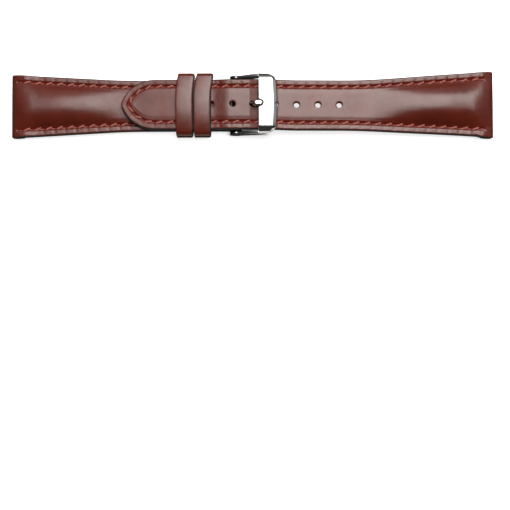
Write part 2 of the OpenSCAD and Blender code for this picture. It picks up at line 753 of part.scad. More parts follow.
short_upper();
short_padding();
short_lining();
short_thread_left();
short_thread_right();
long_upper();
long_padding();
long_lining();
long_thread();
fixed_keeper();
free_keeper();
buckle_frame();
buckle_tongue();
bar_barrel();
bar_spring();
bar_pin_left();
bar_pin_right();
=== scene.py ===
from math import acos, asin, atan, atan2, ceil, copysign, cos, dist, exp, hypot, pi, radians, sin, sqrt, tan

import bmesh
import bpy
from mathutils import Matrix, Vector, noise
from mathutils.kdtree import KDTree


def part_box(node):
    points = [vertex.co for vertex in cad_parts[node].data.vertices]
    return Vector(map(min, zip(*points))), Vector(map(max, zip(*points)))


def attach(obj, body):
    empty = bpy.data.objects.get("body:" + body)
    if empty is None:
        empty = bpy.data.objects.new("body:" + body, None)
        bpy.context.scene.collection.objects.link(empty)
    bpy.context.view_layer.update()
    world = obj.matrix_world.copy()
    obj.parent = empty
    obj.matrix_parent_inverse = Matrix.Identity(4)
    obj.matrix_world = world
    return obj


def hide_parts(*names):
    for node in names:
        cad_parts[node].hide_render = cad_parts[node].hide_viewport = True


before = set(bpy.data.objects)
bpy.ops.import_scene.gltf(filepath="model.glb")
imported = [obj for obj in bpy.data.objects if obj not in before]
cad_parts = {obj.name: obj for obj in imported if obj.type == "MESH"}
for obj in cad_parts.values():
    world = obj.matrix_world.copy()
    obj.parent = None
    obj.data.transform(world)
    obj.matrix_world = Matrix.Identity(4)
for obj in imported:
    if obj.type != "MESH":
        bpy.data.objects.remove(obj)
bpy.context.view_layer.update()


# Camera, lamp and table top. The strap lies flat and is seen almost from straight above, a little
# from its front edge, in the upper part of a square picture. Lengths are in millimetres, which at()
# and new_piece turn into metres, but those of the lamp and the table top are in metres.
mm = 0.001
picture_px = 510
px_per_mm = 3.1694  # of the photograph, at the camera's distance
camera_distance = 420
camera_elevation = radians(87)
camera_roll = -0.0038
picture_middle = (0.612, -46.99)  # the point of the table in the middle of the picture


def at(x, y, z):
    return Vector((x * mm, y * mm, z * mm))


def put_down(name, data):
    """An object for data, in the scene."""
    thing = bpy.data.objects.new(name, data)
    bpy.context.scene.collection.objects.link(thing)
    return thing


camera = put_down("camera", bpy.data.cameras.new("camera"))
bpy.context.scene.camera = camera
camera.data.lens = camera.data.sensor_width * camera_distance * px_per_mm / picture_px
camera.data.clip_start = 0.01
camera.matrix_world = (
    Matrix.Translation(at(*picture_middle, 0))
    @ Matrix.Rotation(pi / 2 - camera_elevation, 4, "X")
    @ Matrix.Translation(at(0, 0, camera_distance))
    @ Matrix.Rotation(camera_roll, 4, "Z")
)

softbox = put_down("softbox", bpy.data.lights.new("softbox", "AREA"))
softbox.data.shape = "RECTANGLE"
softbox.data.size = 0.62
softbox.data.size_y = 0.83
softbox.data.energy = 11.4
softbox.data.color = (1.0, 0.972, 0.94)
softbox.location = (0.14, 0.375, 0.97)
softbox.rotation_euler = Vector(softbox.location).to_track_quat("Z", "Y").to_euler()


def add_node(tree, kind, inputs=(), **settings):
    """A node whose sockets are linked to, or set from, inputs by their names or in their order."""
    node = tree.nodes.new(kind)
    for key, value in settings.items():
        setattr(node, key, value)
    for key, value in inputs.items() if isinstance(inputs, dict) else enumerate(inputs):
        if isinstance(value, bpy.types.NodeSocket):
            tree.links.new(value, node.inputs[key])
        elif value is not None:
            node.inputs[key].default_value = value
    return node


def calculate(tree, operation, *values):
    return add_node(tree, "ShaderNodeMath", values, operation=operation).outputs[0]


def map_range(tree, value, low, high, to_low=0.0, to_high=1.0, kind="LINEAR"):
    inputs = (value, low, high, to_low, to_high)
    return add_node(tree, "ShaderNodeMapRange", inputs, interpolation_type=kind).outputs["Result"]


def new_finish(name, roughness, metallic=0):
    """A material, its tree, its shader and its Object coordinates in metres."""
    finish = bpy.data.materials.new(name)
    finish.use_nodes = True
    shader = finish.node_tree.nodes["Principled BSDF"]
    shader.inputs["Roughness"].default_value = roughness
    shader.inputs["Metallic"].default_value = metallic
    place = add_node(finish.node_tree, "ShaderNodeTexCoord").outputs["Object"]
    return finish, finish.node_tree, shader, place


def feed(shader, name, value):
    """Links value to a material's shader."""
    shader.id_data.links.new(value, shader.inputs[name])


# The room is pale behind the strap and to its right, dark to its left and behind the camera. The
# camera sees plain white.
room = bpy.data.worlds.new("room")
bpy.context.scene.world = room
room.use_nodes = True
tree = room.node_tree
tree.nodes.clear()
direction = add_node(tree, "ShaderNodeTexCoord").outputs["Generated"]
window = (0.22, 0.85, 0.28)  # the direction of the room's pale side
towards_window = add_node(tree, "ShaderNodeVectorMath", (direction, window), operation="DOT_PRODUCT")
shade = map_range(tree, towards_window.outputs["Value"], -0.1, 0.85, 0.05, 0.8, "SMOOTHSTEP")
height = add_node(tree, "ShaderNodeSeparateXYZ", (direction,)).outputs["Z"]
skirting = map_range(tree, height, 0.08, 0.4, 0.2, 1.0, "SMOOTHSTEP")
strength = add_node(tree, "ShaderNodeMix", {
    "Factor": add_node(tree, "ShaderNodeLightPath").outputs["Is Camera Ray"],
    "A": calculate(tree, "MULTIPLY", shade, skirting),
    "B": 1.0,
})
backdrop = add_node(tree, "ShaderNodeBackground", {"Strength": strength.outputs["Result"]})
add_node(tree, "ShaderNodeOutputWorld", {"Surface": backdrop.outputs[0]})

# The camera sees the board as white, and the strap's shadow stays on it, darkest in the gaps beside the
# buckle's arms. Reflections show the board with painted shade, dark but for the part in front of the strap.
board_tone, board_painted_shade, board_lift, gap_lift = 0.85, 0.06, 0.78, 0.15
table_half = 3.0
table_mesh = bpy.data.meshes.new("table_top")
table_mesh.from_pydata(
    [(x * table_half, y * table_half, 0) for x, y in ((-1, -1), (1, -1), (1, 1), (-1, 1))],
    [],
    [(0, 1, 2, 3)],
)
table_top = put_down("table_top", table_mesh)
white_board, tree, shader, place = new_finish("white_board", 0.9)
ray = add_node(tree, "ShaderNodeLightPath").outputs
spot = add_node(tree, "ShaderNodeSeparateXYZ", (place,)).outputs
beside_bar = calculate(tree, "ABSOLUTE", calculate(tree, "ADD", spot["X"], 1.5 * mm))
beside_arm = calculate(tree, "ABSOLUTE", spot["Y"])
beside_bar = map_range(tree, beside_bar, 4 * mm, 7 * mm)
beside_arm = map_range(tree, beside_arm, 8.5 * mm, 9.3 * mm, gap_lift)
lift = calculate(tree, "MULTIPLY", calculate(tree, "MAXIMUM", beside_bar, beside_arm), board_lift)
lift = calculate(tree, "MULTIPLY", lift, ray["Is Camera Ray"])
# Painted shade: in reflections the board is dark near and behind the strap, as if in its shadow.
in_front = map_range(tree, spot["Y"], -18 * mm, -12 * mm)
painted_shade_in_reflections = calculate(tree, "MULTIPLY", in_front, ray["Is Glossy Ray"])
feed(shader, "Base Color", map_range(tree, painted_shade_in_reflections, 0, 1, board_tone, board_painted_shade))
feed(shader, "Emission Strength", lift)
shader.inputs["Emission Color"].default_value = (1, 1, 1, 1)
table_mesh.materials.append(white_board)

bpy.context.scene.view_settings.view_transform = "Standard"


# Face leather of the short piece. Smooth calf, cut with its edges left thin, drawn over the filler
# and stitched down along both sides. One end is rolled round the tunnel of the lug, the other is
# folded round the bar of the buckle, with a slot for the tongue.
short_low, short_high = (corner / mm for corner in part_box("short_upper"))
lining_low, lining_high = (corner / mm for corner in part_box("short_lining"))
bar_low, bar_high = (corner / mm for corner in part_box("bar_barrel"))
bar = (bar_low + bar_high) / 2
lug_w = short_high.y - short_low.y
short_w = 16
short_taper = 36
soft_end = 0.16  # share of a taper over which it ends softly
lug_corner_r, corner_share = 0.7, 0.6  # of the lug end's corners, and how much of it shows across
under_z = lining_low.z
lining_t = lining_high.z - lining_low.z
face_t = 0.9
filler_t = 0.4
glue = 0.03
thin_t = lining_t + filler_t + face_t
pad_t = 4.4
pad_len = 41
pad_rise = 27
roll_r = 2.2
tunnel_r = 1.0
nose_len = 7
lug_zone = 9
fold_r = 1.8
fold_bore_r = 1.0
fold_len = 5
slot_w = 3.2
slot_back = 1.42  # from the bar to the slot's end
seam_in = 2.25
seam_start = 4
stitch_pitch = 3.4
stitch_len = 2.15
edge_fall = 0.45  # how far the rounded edge falls
edge_round = 0.5  # width of that rounding
trough_out = 0.9  # width of the trough from its bottom to the edge bead
trough_in = 0.8  # and to the panel
trough_depth = 0.36
panel_in = seam_in + trough_in
prick_len = 0.45  # how far along the seam a stitch hole draws the leather down
bead_pull, bead_in, bead_reach = 0.1, 1.3, 1.1  # depth, place and reach of its pull on the edge bead
hole_pull, hole_reach = 0.22, 0.6
crease_run = 1.5  # how far the crease runs on beyond the last stitch
panel_swell = 0.12  # how far the panel swells up inside the seam
swell_width = 1.2
wall_bulge = 0.05
wave_depth, ripple_depth = 0.035, 0.014
calm_w = 0.6  # width beside the edge over which the leather lies calm
edge_paint, paint_fade = 0.27, 0.1  # how far the edge paint comes over the face
cliff = 0.02  # length of the step in the underside behind the roll and before the fold
face_step = 0.34
short_rub = 0.25  # how dull wear has made this piece


def clamp01(t):
    return max(0.0, min(1.0, t))


def smooth(t):
    t = clamp01(t)
    return t * t * (3 - 2 * t)


def root(t):
    return sqrt(max(0, t))


def ramp(t, soft):
    """t, or 0 where t is less, with the corner softened by soft on both sides."""
    return max(0, t) if abs(t) >= soft else (t + soft) ** 2 / (4 * soft)


def fillet(s, r):
    """How far an edge of radius r falls away at s from it."""
    return r - root(r * r - (r - max(0, min(s, r))) ** 2)


def half_width(u, end_w, taper, lug_w=lug_w):
    """Half the width at u from the lug end, with its corner rounded."""
    width = end_w + (lug_w - end_w) * ramp(1 - u / taper, soft_end)
    return width / 2 - corner_share * fillet(u, lug_corner_r)


def seam_height(u):
    share = smooth(1.5 * (1 - u / lug_zone))
    return thin_t + (2 * roll_r - under_z - thin_t) * share


def panel_height(u, f):
    """Thickness of the strap where f runs from 0 in the middle to 1 beside the seam."""
    middle = thin_t + (pad_t - thin_t) * smooth((pad_len - u) / pad_rise)
    edge = seam_height(u)
    return edge + (middle - edge) * (1 - f**2.2)


def hump(t):
    """1 at t = 0, falling softly to 0 at t = 1 and beyond."""
    return cos(pi / 2 * min(1, abs(t))) ** 2


def trough_share(s):
    return hump((seam_in - s) / trough_out if s < seam_in else (s - seam_in) / trough_in)


def seam_pull(s, f, d):
    """How far the seam pulls the face down at s from the edge, share f of the panel, d along it."""
    if f < 1:
        return 0
    phase = d / stitch_pitch
    prick = exp(-((abs(phase - round(phase)) * stitch_pitch / prick_len) ** 2))
    drawn = bead_pull * hump((s - bead_in) / bead_reach) + hole_pull * hump((s - seam_in) / hole_reach)
    return trough_share(s) * trough_depth + prick * drawn


def edge_round_off(s):
    return edge_fall / edge_round * fillet(s, edge_round)


def unevenness(x, y):
    """Hand-made leather is never quite flat."""
    waves = noise.noise(Vector((x / 7, y / 5, 3.1)))
    ripples = noise.noise(Vector((x / 2.3, y / 2, 8.7)))
    return wave_depth * waves + ripple_depth * ripples


def face_height(u, s, f, d, x, y, beyond):
    """Height of the face over the lining's underside, at a place that lies beyond the panel's edge."""
    swell = panel_swell * smooth(beyond / swell_width) * smooth((u - nose_len) / nose_len)
    seam = seam_pull(s, f, d) if d is not None else 0
    uneven = unevenness(x, y) * smooth((s - edge_round) / calm_w)
    return panel_height(u, f) + swell - edge_round_off(s) - seam + uneven


def bed_height(u, s, f):
    return lining_t + glue if s < edge_round else panel_height(u, f) - face_t


def nose(u, z):
    """The face rounds down over the lug end."""
    return roll_r + (z - roll_r) * (1 - fillet(u, nose_len) / nose_len)


def under_roll(u):
    return roll_r - root(roll_r**2 - (roll_r - u) ** 2)


def spread(start, stop, n):
    return [start + (stop - start) * i / n for i in range(n + 1)]


def steps(start, stop, gap):
    return spread(start, stop, max(1, ceil(abs(stop - start) / gap)))


def new_piece(name, points, faces):
    """A closed mesh object from points in millimetres, doubles merged, its faces turned outwards."""
    mesh = bpy.data.meshes.new(name)
    mesh.from_pydata([(x * mm, y * mm, z * mm) for x, y, z in points], [], faces)
    shape = bmesh.new()
    shape.from_mesh(mesh)
    bmesh.ops.remove_doubles(shape, verts=shape.verts, dist=1e-7)
    bmesh.ops.recalc_face_normals(shape, faces=shape.faces)
    if shape.calc_volume(signed=True) < 0:
        bmesh.ops.reverse_faces(shape, faces=shape.faces)
    shape.to_mesh(mesh)
    shape.free()
    mesh.shade_smooth()
    return put_down(name, mesh)


def hoop_faces(hoops, size, closed=False):
    """Faces between hoops of as many points each, closed from the last to the first or open."""
    return [
        (i * size + k, i * size + (k + 1) % size, j * size + (k + 1) % size, j * size + k)
        for i, j in ((i, (i + 1) % hoops) for i in range(hoops if closed else hoops - 1))
        for k in range(size)
    ]


# Insets from the edge at which points lie, then shares of the panel, closer where the holes are.
near_edge = [
    0, 0.03, 0.09, 0.2, 0.35, 0.5, 0.75, 1.0, 1.3, 1.5, 1.65, 1.8, 1.95, 2.08, 2.2, 2.32, 2.45, 2.58, 2.7,
]
panel_shares = [
    1, 0.96, 0.91, 0.85, 0.78, 0.7, 0.62, 0.54, 0.47, 0.41, 0.36, 0.31, 0.26, 0.21, 0.16, 0.11, 0.055, 0,
]
face_across = [(s, 1) for s in near_edge] + [(panel_in, f) for f in panel_shares]
wall_steps = 5


def skin(name, stations, across, top, bottom, pointed=False):
    """A closed skin through stations (x, half width, inward normal, way u from its end, d along its seam).

    Across it runs through (inset s, share f), and top and bottom give its heights there.
    """
    spots = [(s, f, 1) for s, f in across] + [(s, f, -1) for s, f in reversed(across[:-1])]
    n = len(spots)
    points = []
    for x, half, (nx, ny), u, d in stations:
        def spot(s, f, side):
            return x + nx * s, side * (half + ny * s) * f

        def wall(side, z_from, z_to):
            bulge = min(wall_bulge, abs(z_to - z_from) / 10)
            for i in range(1, wall_steps):
                t = i / wall_steps
                yield *spot(-bulge * (1 - (2 * t - 1) ** 2), 1, side), z_from + (z_to - z_from) * t

        upper, lower = [], []
        for s, f, side in spots:
            x_y = spot(s, f, side)
            upper.append((*x_y, top(u, s, f, d, *x_y, (half + ny * s) * (1 - f))))
            lower.insert(0, (*x_y, bottom(u, s, f, *x_y)))
        points += [*upper, *wall(-1, upper[-1][2], lower[0][2]), *lower, *wall(1, lower[-1][2], upper[0][2])]
    ring = 2 * (n + wall_steps - 1)
    faces = hoop_faces(len(stations), ring)
    # An end is closed where its ring has a height. At a point both sides meet, so it needs no cap.
    for first in [0] if pointed else [0, len(points) - ring]:
        pairs = [(first + k, first + ring - wall_steps - k) for k in range(n)]
        if max(points[a][2] - points[b][2] for a, b in pairs) > 1e-4:
            faces += [(a, b, d, c) for (a, b), (c, d) in zip(pairs, pairs[1:])]
            faces.append(tuple(first + n - 1 + i for i in range(wall_steps + 1)))
            faces.append((first, *[first + ring - i for i in range(1, wall_steps + 1)]))
    return new_piece(name, points, faces)


def cylinder(r, length, matrix, sides):
    shape = bmesh.new()
    bmesh.ops.create_cone(
        shape, cap_ends=True, segments=sides, radius1=r * mm, radius2=r * mm, depth=length * mm, matrix=matrix
    )
    return shape


def rod(x, z, r, length):
    """A cutter along Y."""
    return cylinder(r, length, Matrix.Translation(at(x, 0, z)) @ Matrix.Rotation(pi / 2, 4, "X"), 48)


def block(low, high):
    """A cutter between two corners."""
    shape = bmesh.new()
    middle, size = (Vector(low) + Vector(high)) / 2, Vector(high) - Vector(low)
    bmesh.ops.create_cube(
        shape, size=1, matrix=Matrix.Translation(at(*middle)) @ Matrix.Diagonal((*(size * mm), 1))
    )
    return shape


def as_shown(piece):
    """The mesh of a piece with what its modifiers make of it."""
    return bpy.data.meshes.new_from_object(piece.evaluated_get(bpy.context.evaluated_depsgraph_get()))


def combine(piece, shapes, operation="DIFFERENCE"):
    """Cuts each shape out of piece, or joins it to piece."""
    for shape in shapes:
        tool = put_down("cutter", bpy.data.meshes.new("cutter"))
        shape.to_mesh(tool.data)
        shape.free()
        step = piece.modifiers.new("step", "BOOLEAN")
        step.operation = operation
        step.solver = "EXACT"
        step.object = tool
        result = as_shown(piece)
        piece.modifiers.clear()
        piece.data = result
        bpy.data.objects.remove(tool)


def crease(piece, angle=38):
    """Smooth shading, sharp where two faces meet at more than angle."""
    shape = bmesh.new()
    shape.from_mesh(piece.data)
    for edge in shape.edges:
        edge.smooth = len(edge.link_faces) == 2 and edge.calc_face_angle(0) < radians(angle)
    for face in shape.faces:
        face.smooth = True
    shape.to_mesh(piece.data)
    shape.free()


def mark(piece, name, place_value):
    """Writes an attribute on the piece's points from their places in millimetres."""
    values = piece.data.attributes.new(name, "FLOAT", "POINT").data
    for vertex, value in zip(piece.data.vertices, values):
        value.value = place_value(*(vertex.co / mm))


def finder(points):
    """Finds which point lies nearest to a place, and how far off."""
    tree = KDTree(len(points))
    for i, point in enumerate(points):
        tree.insert(point, i)
    tree.balance()
    return tree


def mark_face(piece, stations, sewn=lambda x: 0, punched=lambda x, y: 0):
    """Marks where the edge is painted and where the seam creases the leather."""
    edge = finder([(x, side * half, 0) for x, half, *_ in stations for side in (1, -1)])

    def paint(x, y, z):
        inset = edge.find((x, y, 0))[2]
        return max(clamp01((edge_paint - inset) / paint_fade), punched(x, y))

    def trough(x, y, z):
        return trough_share(edge.find((x, y, 0))[2]) * sewn(x)

    mark(piece, "paint", paint)
    mark(piece, "trough", trough)


short_len = bar.x - short_low.x
short_fold_u = short_len - fold_len
fold_meet = fold_r * 0.67
fold_half = sqrt(fold_r**2 - fold_meet**2)


def short_station(u):
    d = u - seam_start + (stitch_pitch - stitch_len) / 2
    in_seam = -0.5 * stitch_pitch < d < short_fold_u - seam_start
    return short_low.x + u, half_width(u, short_w, short_taper), (0, -1), u, d if in_seam else None


def round_bar(x, s):
    return root(fold_r**2 - (x - bar.x) ** 2) * (1 - 0.4 * edge_round_off(s) / fold_r)


def short_face_top(u, s, f, d, x, y, beyond):
    if u > short_len - fold_meet:
        return bar.z + round_bar(x, s)
    z = under_z + face_height(u, s, f, d, x, y, beyond)
    share = clamp01((u - short_fold_u) / (fold_len - fold_meet))
    return nose(u, z + (bar.z + fold_half - under_z - thin_t) * share)


def short_face_bottom(u, s, f, x, y):
    if u <= 2 * roll_r:
        return under_roll(u)
    if u > short_len - fold_meet:
        return bar.z - round_bar(x, s)
    if u >= short_fold_u:
        share = (u - short_fold_u) / (fold_len - fold_meet)
        return under_z + (bar.z - fold_half - under_z) * share
    return under_z + bed_height(u, s, f)


roll_us = [roll_r * (1 - cos(radians(a))) for a in range(0, 181, 9)] + [2 * roll_r + cliff]
flat_u = 2 * roll_r + 0.3
fold_us = [short_len + fold_r * sin(radians(a)) for a in range(-40, 91, 10)]
short_us = (
    roll_us + steps(flat_u, short_fold_u - cliff, face_step)
    + steps(short_fold_u, short_len - fold_meet, 0.4) + fold_us
)
short_face = skin(
    "short_face", [short_station(u) for u in short_us], face_across, short_face_top, short_face_bottom
)
combine(short_face, [
    rod(short_low.x + roll_r, roll_r, tunnel_r, 2 * lug_w),
    rod(bar.x, bar.z, fold_bore_r, 2 * lug_w),
    block((bar.x - slot_back, -slot_w / 2, 0), (bar.x + 2 * fold_r, slot_w / 2, 3 * fold_r)),
])
crease(short_face)

mark_face(
    short_face, [short_station(u) for u in short_us if roll_r < u < short_len],
    lambda x: smooth((x - short_low.x - seam_start) / crease_run + 1),
)
mark(short_face, "rubbed", lambda x, y, z: short_rub)


def new_effect(name, given, results):
    """A shader node group that makes results from a place and the given values, and its two ends."""
    effect = bpy.data.node_groups.new(name, "ShaderNodeTree")
    effect.interface.new_socket("Place", in_out="INPUT", socket_type="NodeSocketVector")
    for label in given:
        effect.interface.new_socket(label, in_out="INPUT", socket_type="NodeSocketFloat")
    for label in results:
        effect.interface.new_socket(label, in_out="OUTPUT", socket_type="NodeSocketFloat")
    return effect, effect.nodes.new("NodeGroupInput").outputs, effect.nodes.new("NodeGroupOutput").inputs


def use_effect(tree, effect, **inputs):
    return add_node(tree, "ShaderNodeGroup", inputs, node_tree=effect).outputs


def speckle(tree, place, scale, detail, **more):
    """Noise over the place, finer with a larger scale."""
    inputs = {"Vector": place, "Scale": scale, "Detail": detail, **more}
    return add_node(tree, "ShaderNodeTexNoise", inputs).outputs


def read_mark(tree, name):
    return add_node(tree, "ShaderNodeAttribute", attribute_name=name).outputs["Fac"]


def mix_colour(tree, share, first, second):
    """From first to second by share. These are the sockets of the mix node's colour form."""
    return add_node(tree, "ShaderNodeMix", {0: share, 6: first, 7: second}, data_type="RGBA").outputs[2]


def add_bump(tree, shader, height, depth):
    """Depth is in millimetres."""
    bump = add_node(tree, "ShaderNodeBump", {"Height": height, "Distance": depth * mm, "Strength": 1.0})
    feed(shader, "Normal", bump.outputs[0])


# Grain of the calf: fine pebbles between creases, and slow changes of the dye and of the wear.
grain, given, result = new_effect("calf_grain", ["Pebbles"], ["Height", "Dye", "Rub"])
bent = speckle(grain, given["Place"], 900, 2)["Color"]
bend_by = (0.0003, 0.0003, 0.0003)
shifted = add_node(grain, "ShaderNodeVectorMath", (bent, bend_by, given["Place"]), operation="MULTIPLY_ADD")
pebble = add_node(
    grain, "ShaderNodeTexVoronoi", {"Vector": shifted.outputs[0], "Scale": given["Pebbles"]},
    feature="DISTANCE_TO_EDGE",
)
domes = map_range(grain, pebble.outputs["Distance"], 0, 0.35, kind="SMOOTHSTEP")
slack = speckle(grain, given["Place"], 420, 3)["Fac"]
dye = speckle(grain, given["Place"], 95, 5, Roughness=0.6)["Fac"]
rub = speckle(grain, given["Place"], 260, 3)["Fac"]
grain.links.new(calculate(grain, "MULTIPLY_ADD", slack, 1.6, domes), result["Height"])
grain.links.new(map_range(grain, dye, 0.3, 0.7), result["Dye"])
grain.links.new(map_range(grain, rub, 0.35, 0.7), result["Rub"])

paint_colour = (0.014, 0.0095, 0.008, 1)
calf, tree, shader, place = new_finish("calf", 0.2)
leather_marks = use_effect(tree, grain, Place=place, Pebbles=3600)
dyed = mix_colour(tree, leather_marks["Dye"], (0.087, 0.0105, 0.0045, 1), (0.127, 0.0165, 0.007, 1))
creased = mix_colour(tree, read_mark(tree, "trough"), dyed, (0.15, 0.0095, 0.0045, 1))
feed(shader, "Base Color", mix_colour(tree, read_mark(tree, "paint"), creased, paint_colour))
gloss = map_range(tree, leather_marks["Rub"], 0, 1, 0.21, 0.28)
dull = calculate(tree, "MULTIPLY_ADD", read_mark(tree, "rubbed"), 0.3, gloss)
feed(shader, "Roughness", calculate(tree, "MULTIPLY_ADD", read_mark(tree, "paint"), 0.34, dull))
add_bump(tree, shader, leather_marks["Height"], 0.008)
short_face.data.materials.append(calf)
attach(short_face, "strap")
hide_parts("short_upper")


# Filler of the short piece. A pad of pressed fibre between the two leathers, skived thin towards the
# buckle and thick at the lug end, where it gives the strap its crown.
end_gap = 0.1
filler_in = 1.1
filler_step = 0.7
filler_across = [(s, 1) for s in (filler_in, seam_in, panel_in)]
filler_across += [(panel_in, f) for f in (0.85, 0.6, 0.3, 0)]
inner_us = steps(2 * roll_r + end_gap, short_fold_u - end_gap, filler_step)
short_inner = [short_station(u) for u in inner_us]


def pad(name, stations, under, pointed=False):
    """A filler on the lining whose underside lies at the height under(x)."""
    return skin(
        name, stations, filler_across,
        lambda u, s, f, d, x, y, beyond: under(x) + bed_height(u, s, f) - glue,
        lambda u, s, f, x, y: under(x) + lining_t + glue,
        pointed,
    )


short_filler = pad("short_filler", short_inner, lambda x: under_z)
felt, tree, shader, place = new_finish("felt", 0.95)
fibres = speckle(tree, place, 2600, 4, Distortion=2.5)["Fac"]
feed(shader, "Base Color", mix_colour(tree, fibres, (0.26, 0.17, 0.11, 1), (0.44, 0.31, 0.21, 1)))
add_bump(tree, shader, fibres, 0.06)
short_filler.data.materials.append(felt)
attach(short_filler, "strap")
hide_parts("short_padding")


# Lining of the short piece. Thin leather with a fine nap, glued under the filler between the roll and
# the fold, and trimmed flush with the face.
lining_round = 0.12
lining_across = [(s, 1) for s in (0, 0.05, 0.14, 0.4, panel_in)] + [(panel_in, f) for f in (0.7, 0.35, 0)]


def backing(name, stations, under, pointed=False):
    """A lining whose underside lies at the height under(x)."""
    return skin(
        name, stations, lining_across,
        lambda u, s, f, d, x, y, beyond: under(x) + lining_t,
        lambda u, s, f, x, y: under(x) + lining_round * (1 - min(1, s / lining_round)) ** 2,
        pointed,
    )


short_back = backing("short_back", short_inner, lambda x: under_z)
nap, tree, shader, place = new_finish("nap", 0.85)
brushed = speckle(tree, place, 140, 6, Roughness=0.65)["Fac"]
nap_colour = mix_colour(tree, brushed, (0.085, 0.033, 0.019, 1), (0.17, 0.075, 0.045, 1))
feed(shader, "Base Color", mix_colour(tree, read_mark(tree, "paint"), nap_colour, paint_colour))
add_bump(tree, shader, speckle(tree, place, 5200, 3)["Fac"], 0.03)
shader.inputs["Sheen Weight"].default_value = 0.15
shader.inputs["Sheen Roughness"].default_value = 0.5
short_back.data.materials.append(nap)
mark_face(short_back, short_inner)
crease(short_back)
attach(short_back, "strap")
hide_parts("short_lining")


# Seams of the short piece. Waxed two-ply thread, a little lighter than the leather, in even stitches
# that pull the face down into a trough along both edges.
thread_d = 0.72
thread_rest = 0.2  # height of the thread's middle over the bottom of the trough
thread_dip = 0.45  # how far the ends of a stitch go down into their holes
ply_turn = 1.5  # length of one turn of the two plies
ply_share, ply_off_share = 0.27, 0.23  # a ply's radius and its distance from the middle, of the diameter
stitch_points, ply_sides = 15, 6
stitch_slant = radians(22)
seam_step = 0.4


def stitch_tree():
    """Lays a count of twisted stitches along each curve of its input."""
    tree = bpy.data.node_groups.new("stitch_row", "GeometryNodeTree")
    for name, kind in (
        ("Geometry", "Geometry"), ("Stitches", "Int"), ("Length", "Float"), ("Thread Diameter", "Float"),
        ("Dip", "Float"), ("Twist", "Float"), ("Slant", "Float"), ("Thread", "Material"),
    ):
        tree.interface.new_socket(name, in_out="INPUT", socket_type="NodeSocket" + kind)
    tree.interface.new_socket("Geometry", in_out="OUTPUT", socket_type="NodeSocketGeometry")
    source = tree.nodes.new("NodeGroupInput").outputs

    def node(kind, inputs=(), **settings):
        return add_node(tree, kind, inputs, **settings).outputs[0]

    def times(a, b):
        return calculate(tree, "MULTIPLY", a, b)

    half = times(source["Length"], 0.5)
    line = node("GeometryNodeCurvePrimitiveLine", {
        "Start": node("ShaderNodeCombineXYZ", (times(half, -1.0),)),
        "End": node("ShaderNodeCombineXYZ", (half,)),
    })
    line = node("GeometryNodeResampleCurve", {"Curve": line, "Count": stitch_points})
    x = node("ShaderNodeSeparateXYZ", (node("GeometryNodeInputPosition"),))
    share = calculate(tree, "ABSOLUTE", calculate(tree, "DIVIDE", x, half))
    dip = times(calculate(tree, "POWER", share, 5.0), source["Dip"])
    ply_r = times(source["Thread Diameter"], ply_share)
    ply_off = times(source["Thread Diameter"], ply_off_share)
    ring = node("GeometryNodeCurvePrimitiveCircle", {"Resolution": ply_sides, "Radius": ply_r})
    plies = tree.nodes.new("GeometryNodeJoinGeometry")
    for phase in (0, pi):
        angle = calculate(tree, "MULTIPLY_ADD", x, source["Twist"], phase)
        offset = node("ShaderNodeCombineXYZ", (
            0.0,
            times(calculate(tree, "SINE", angle), ply_off),
            calculate(tree, "SUBTRACT", times(calculate(tree, "COSINE", angle), ply_off), dip),
        ))
        ply = node("GeometryNodeSetPosition", {"Geometry": line, "Offset": offset})
        tube = node("GeometryNodeCurveToMesh", {"Curve": ply, "Profile Curve": ring, "Fill Caps": True})
        tree.links.new(tube, plies.inputs[0])
    tangent = node("GeometryNodeInputTangent")
    facing = node("FunctionNodeAlignRotationToVector", {"Vector": tangent}, axis="X", pivot_axis="Z")
    facing = node("FunctionNodeAlignRotationToVector", {"Rotation": facing, "Vector": tangent}, axis="X")
    slant = node("ShaderNodeCombineXYZ", (0.0, 0.0, source["Slant"]))
    facing = node(
        "FunctionNodeRotateRotation", {"Rotation": facing, "Rotate By": slant}, rotation_space="LOCAL"
    )
    places = node("GeometryNodeResampleCurve", {"Curve": source["Geometry"], "Count": source["Stitches"]})
    row = node(
        "GeometryNodeInstanceOnPoints", {"Points": places, "Instance": plies.outputs[0], "Rotation": facing}
    )
    row = node("GeometryNodeRealizeInstances", {"Geometry": row})
    row = node("GeometryNodeSetMaterial", {"Geometry": row, "Material": source["Thread"]})
    tree.links.new(row, tree.nodes.new("NodeGroupOutput").inputs[0])
    return tree


def sew(name, runs, count, tree, material):
    """Stitches along each run of points in millimetres, made a mesh."""
    curve = bpy.data.curves.new(name + "_path", "CURVE")
    curve.dimensions = "3D"
    for run in runs:
        spline = curve.splines.new("POLY")
        spline.points.add(len(run) - 1)
        for point, place in zip(spline.points, run):
            point.co = (*at(*place), 1)
    seam = put_down(name + "_path", curve)
    sewing = seam.modifiers.new("stitches", "NODES")
    sewing.node_group = tree
    values = {
        "Stitches": count, "Length": stitch_len * mm, "Thread Diameter": thread_d * mm,
        "Dip": thread_dip * mm, "Twist": 2 * pi / (ply_turn * mm), "Slant": stitch_slant,
        "Thread": material,
    }
    for item in tree.interface.items_tree:
        if item.in_out == "INPUT" and item.name in values:
            sewing[item.identifier] = values[item.name]
    mesh = as_shown(seam)
    bpy.data.objects.remove(seam)
    mesh.shade_smooth()
    return put_down(name, mesh)


waxed, tree, shader, place = new_finish("waxed_thread", 0.42)
strands = speckle(tree, place, 3000, 3)["Fac"]
thread_colour = mix_colour(tree, strands, (0.27, 0.08, 0.058, 1), (0.52, 0.22, 0.18, 1))
soil = speckle(tree, place, 160, 2)["Fac"]
feed(shader, "Base Color", mix_colour(tree, soil, thread_colour, (0.38, 0.12, 0.085, 1)))
add_bump(tree, shader, strands, 0.03)


def short_seam(u, side):
    x, half, *_ = short_station(u)
    y = half - seam_in
    bottom = panel_height(u, 1) - trough_depth + unevenness(x, y)
    return x, side * y, nose(u, under_z + bottom) + thread_rest


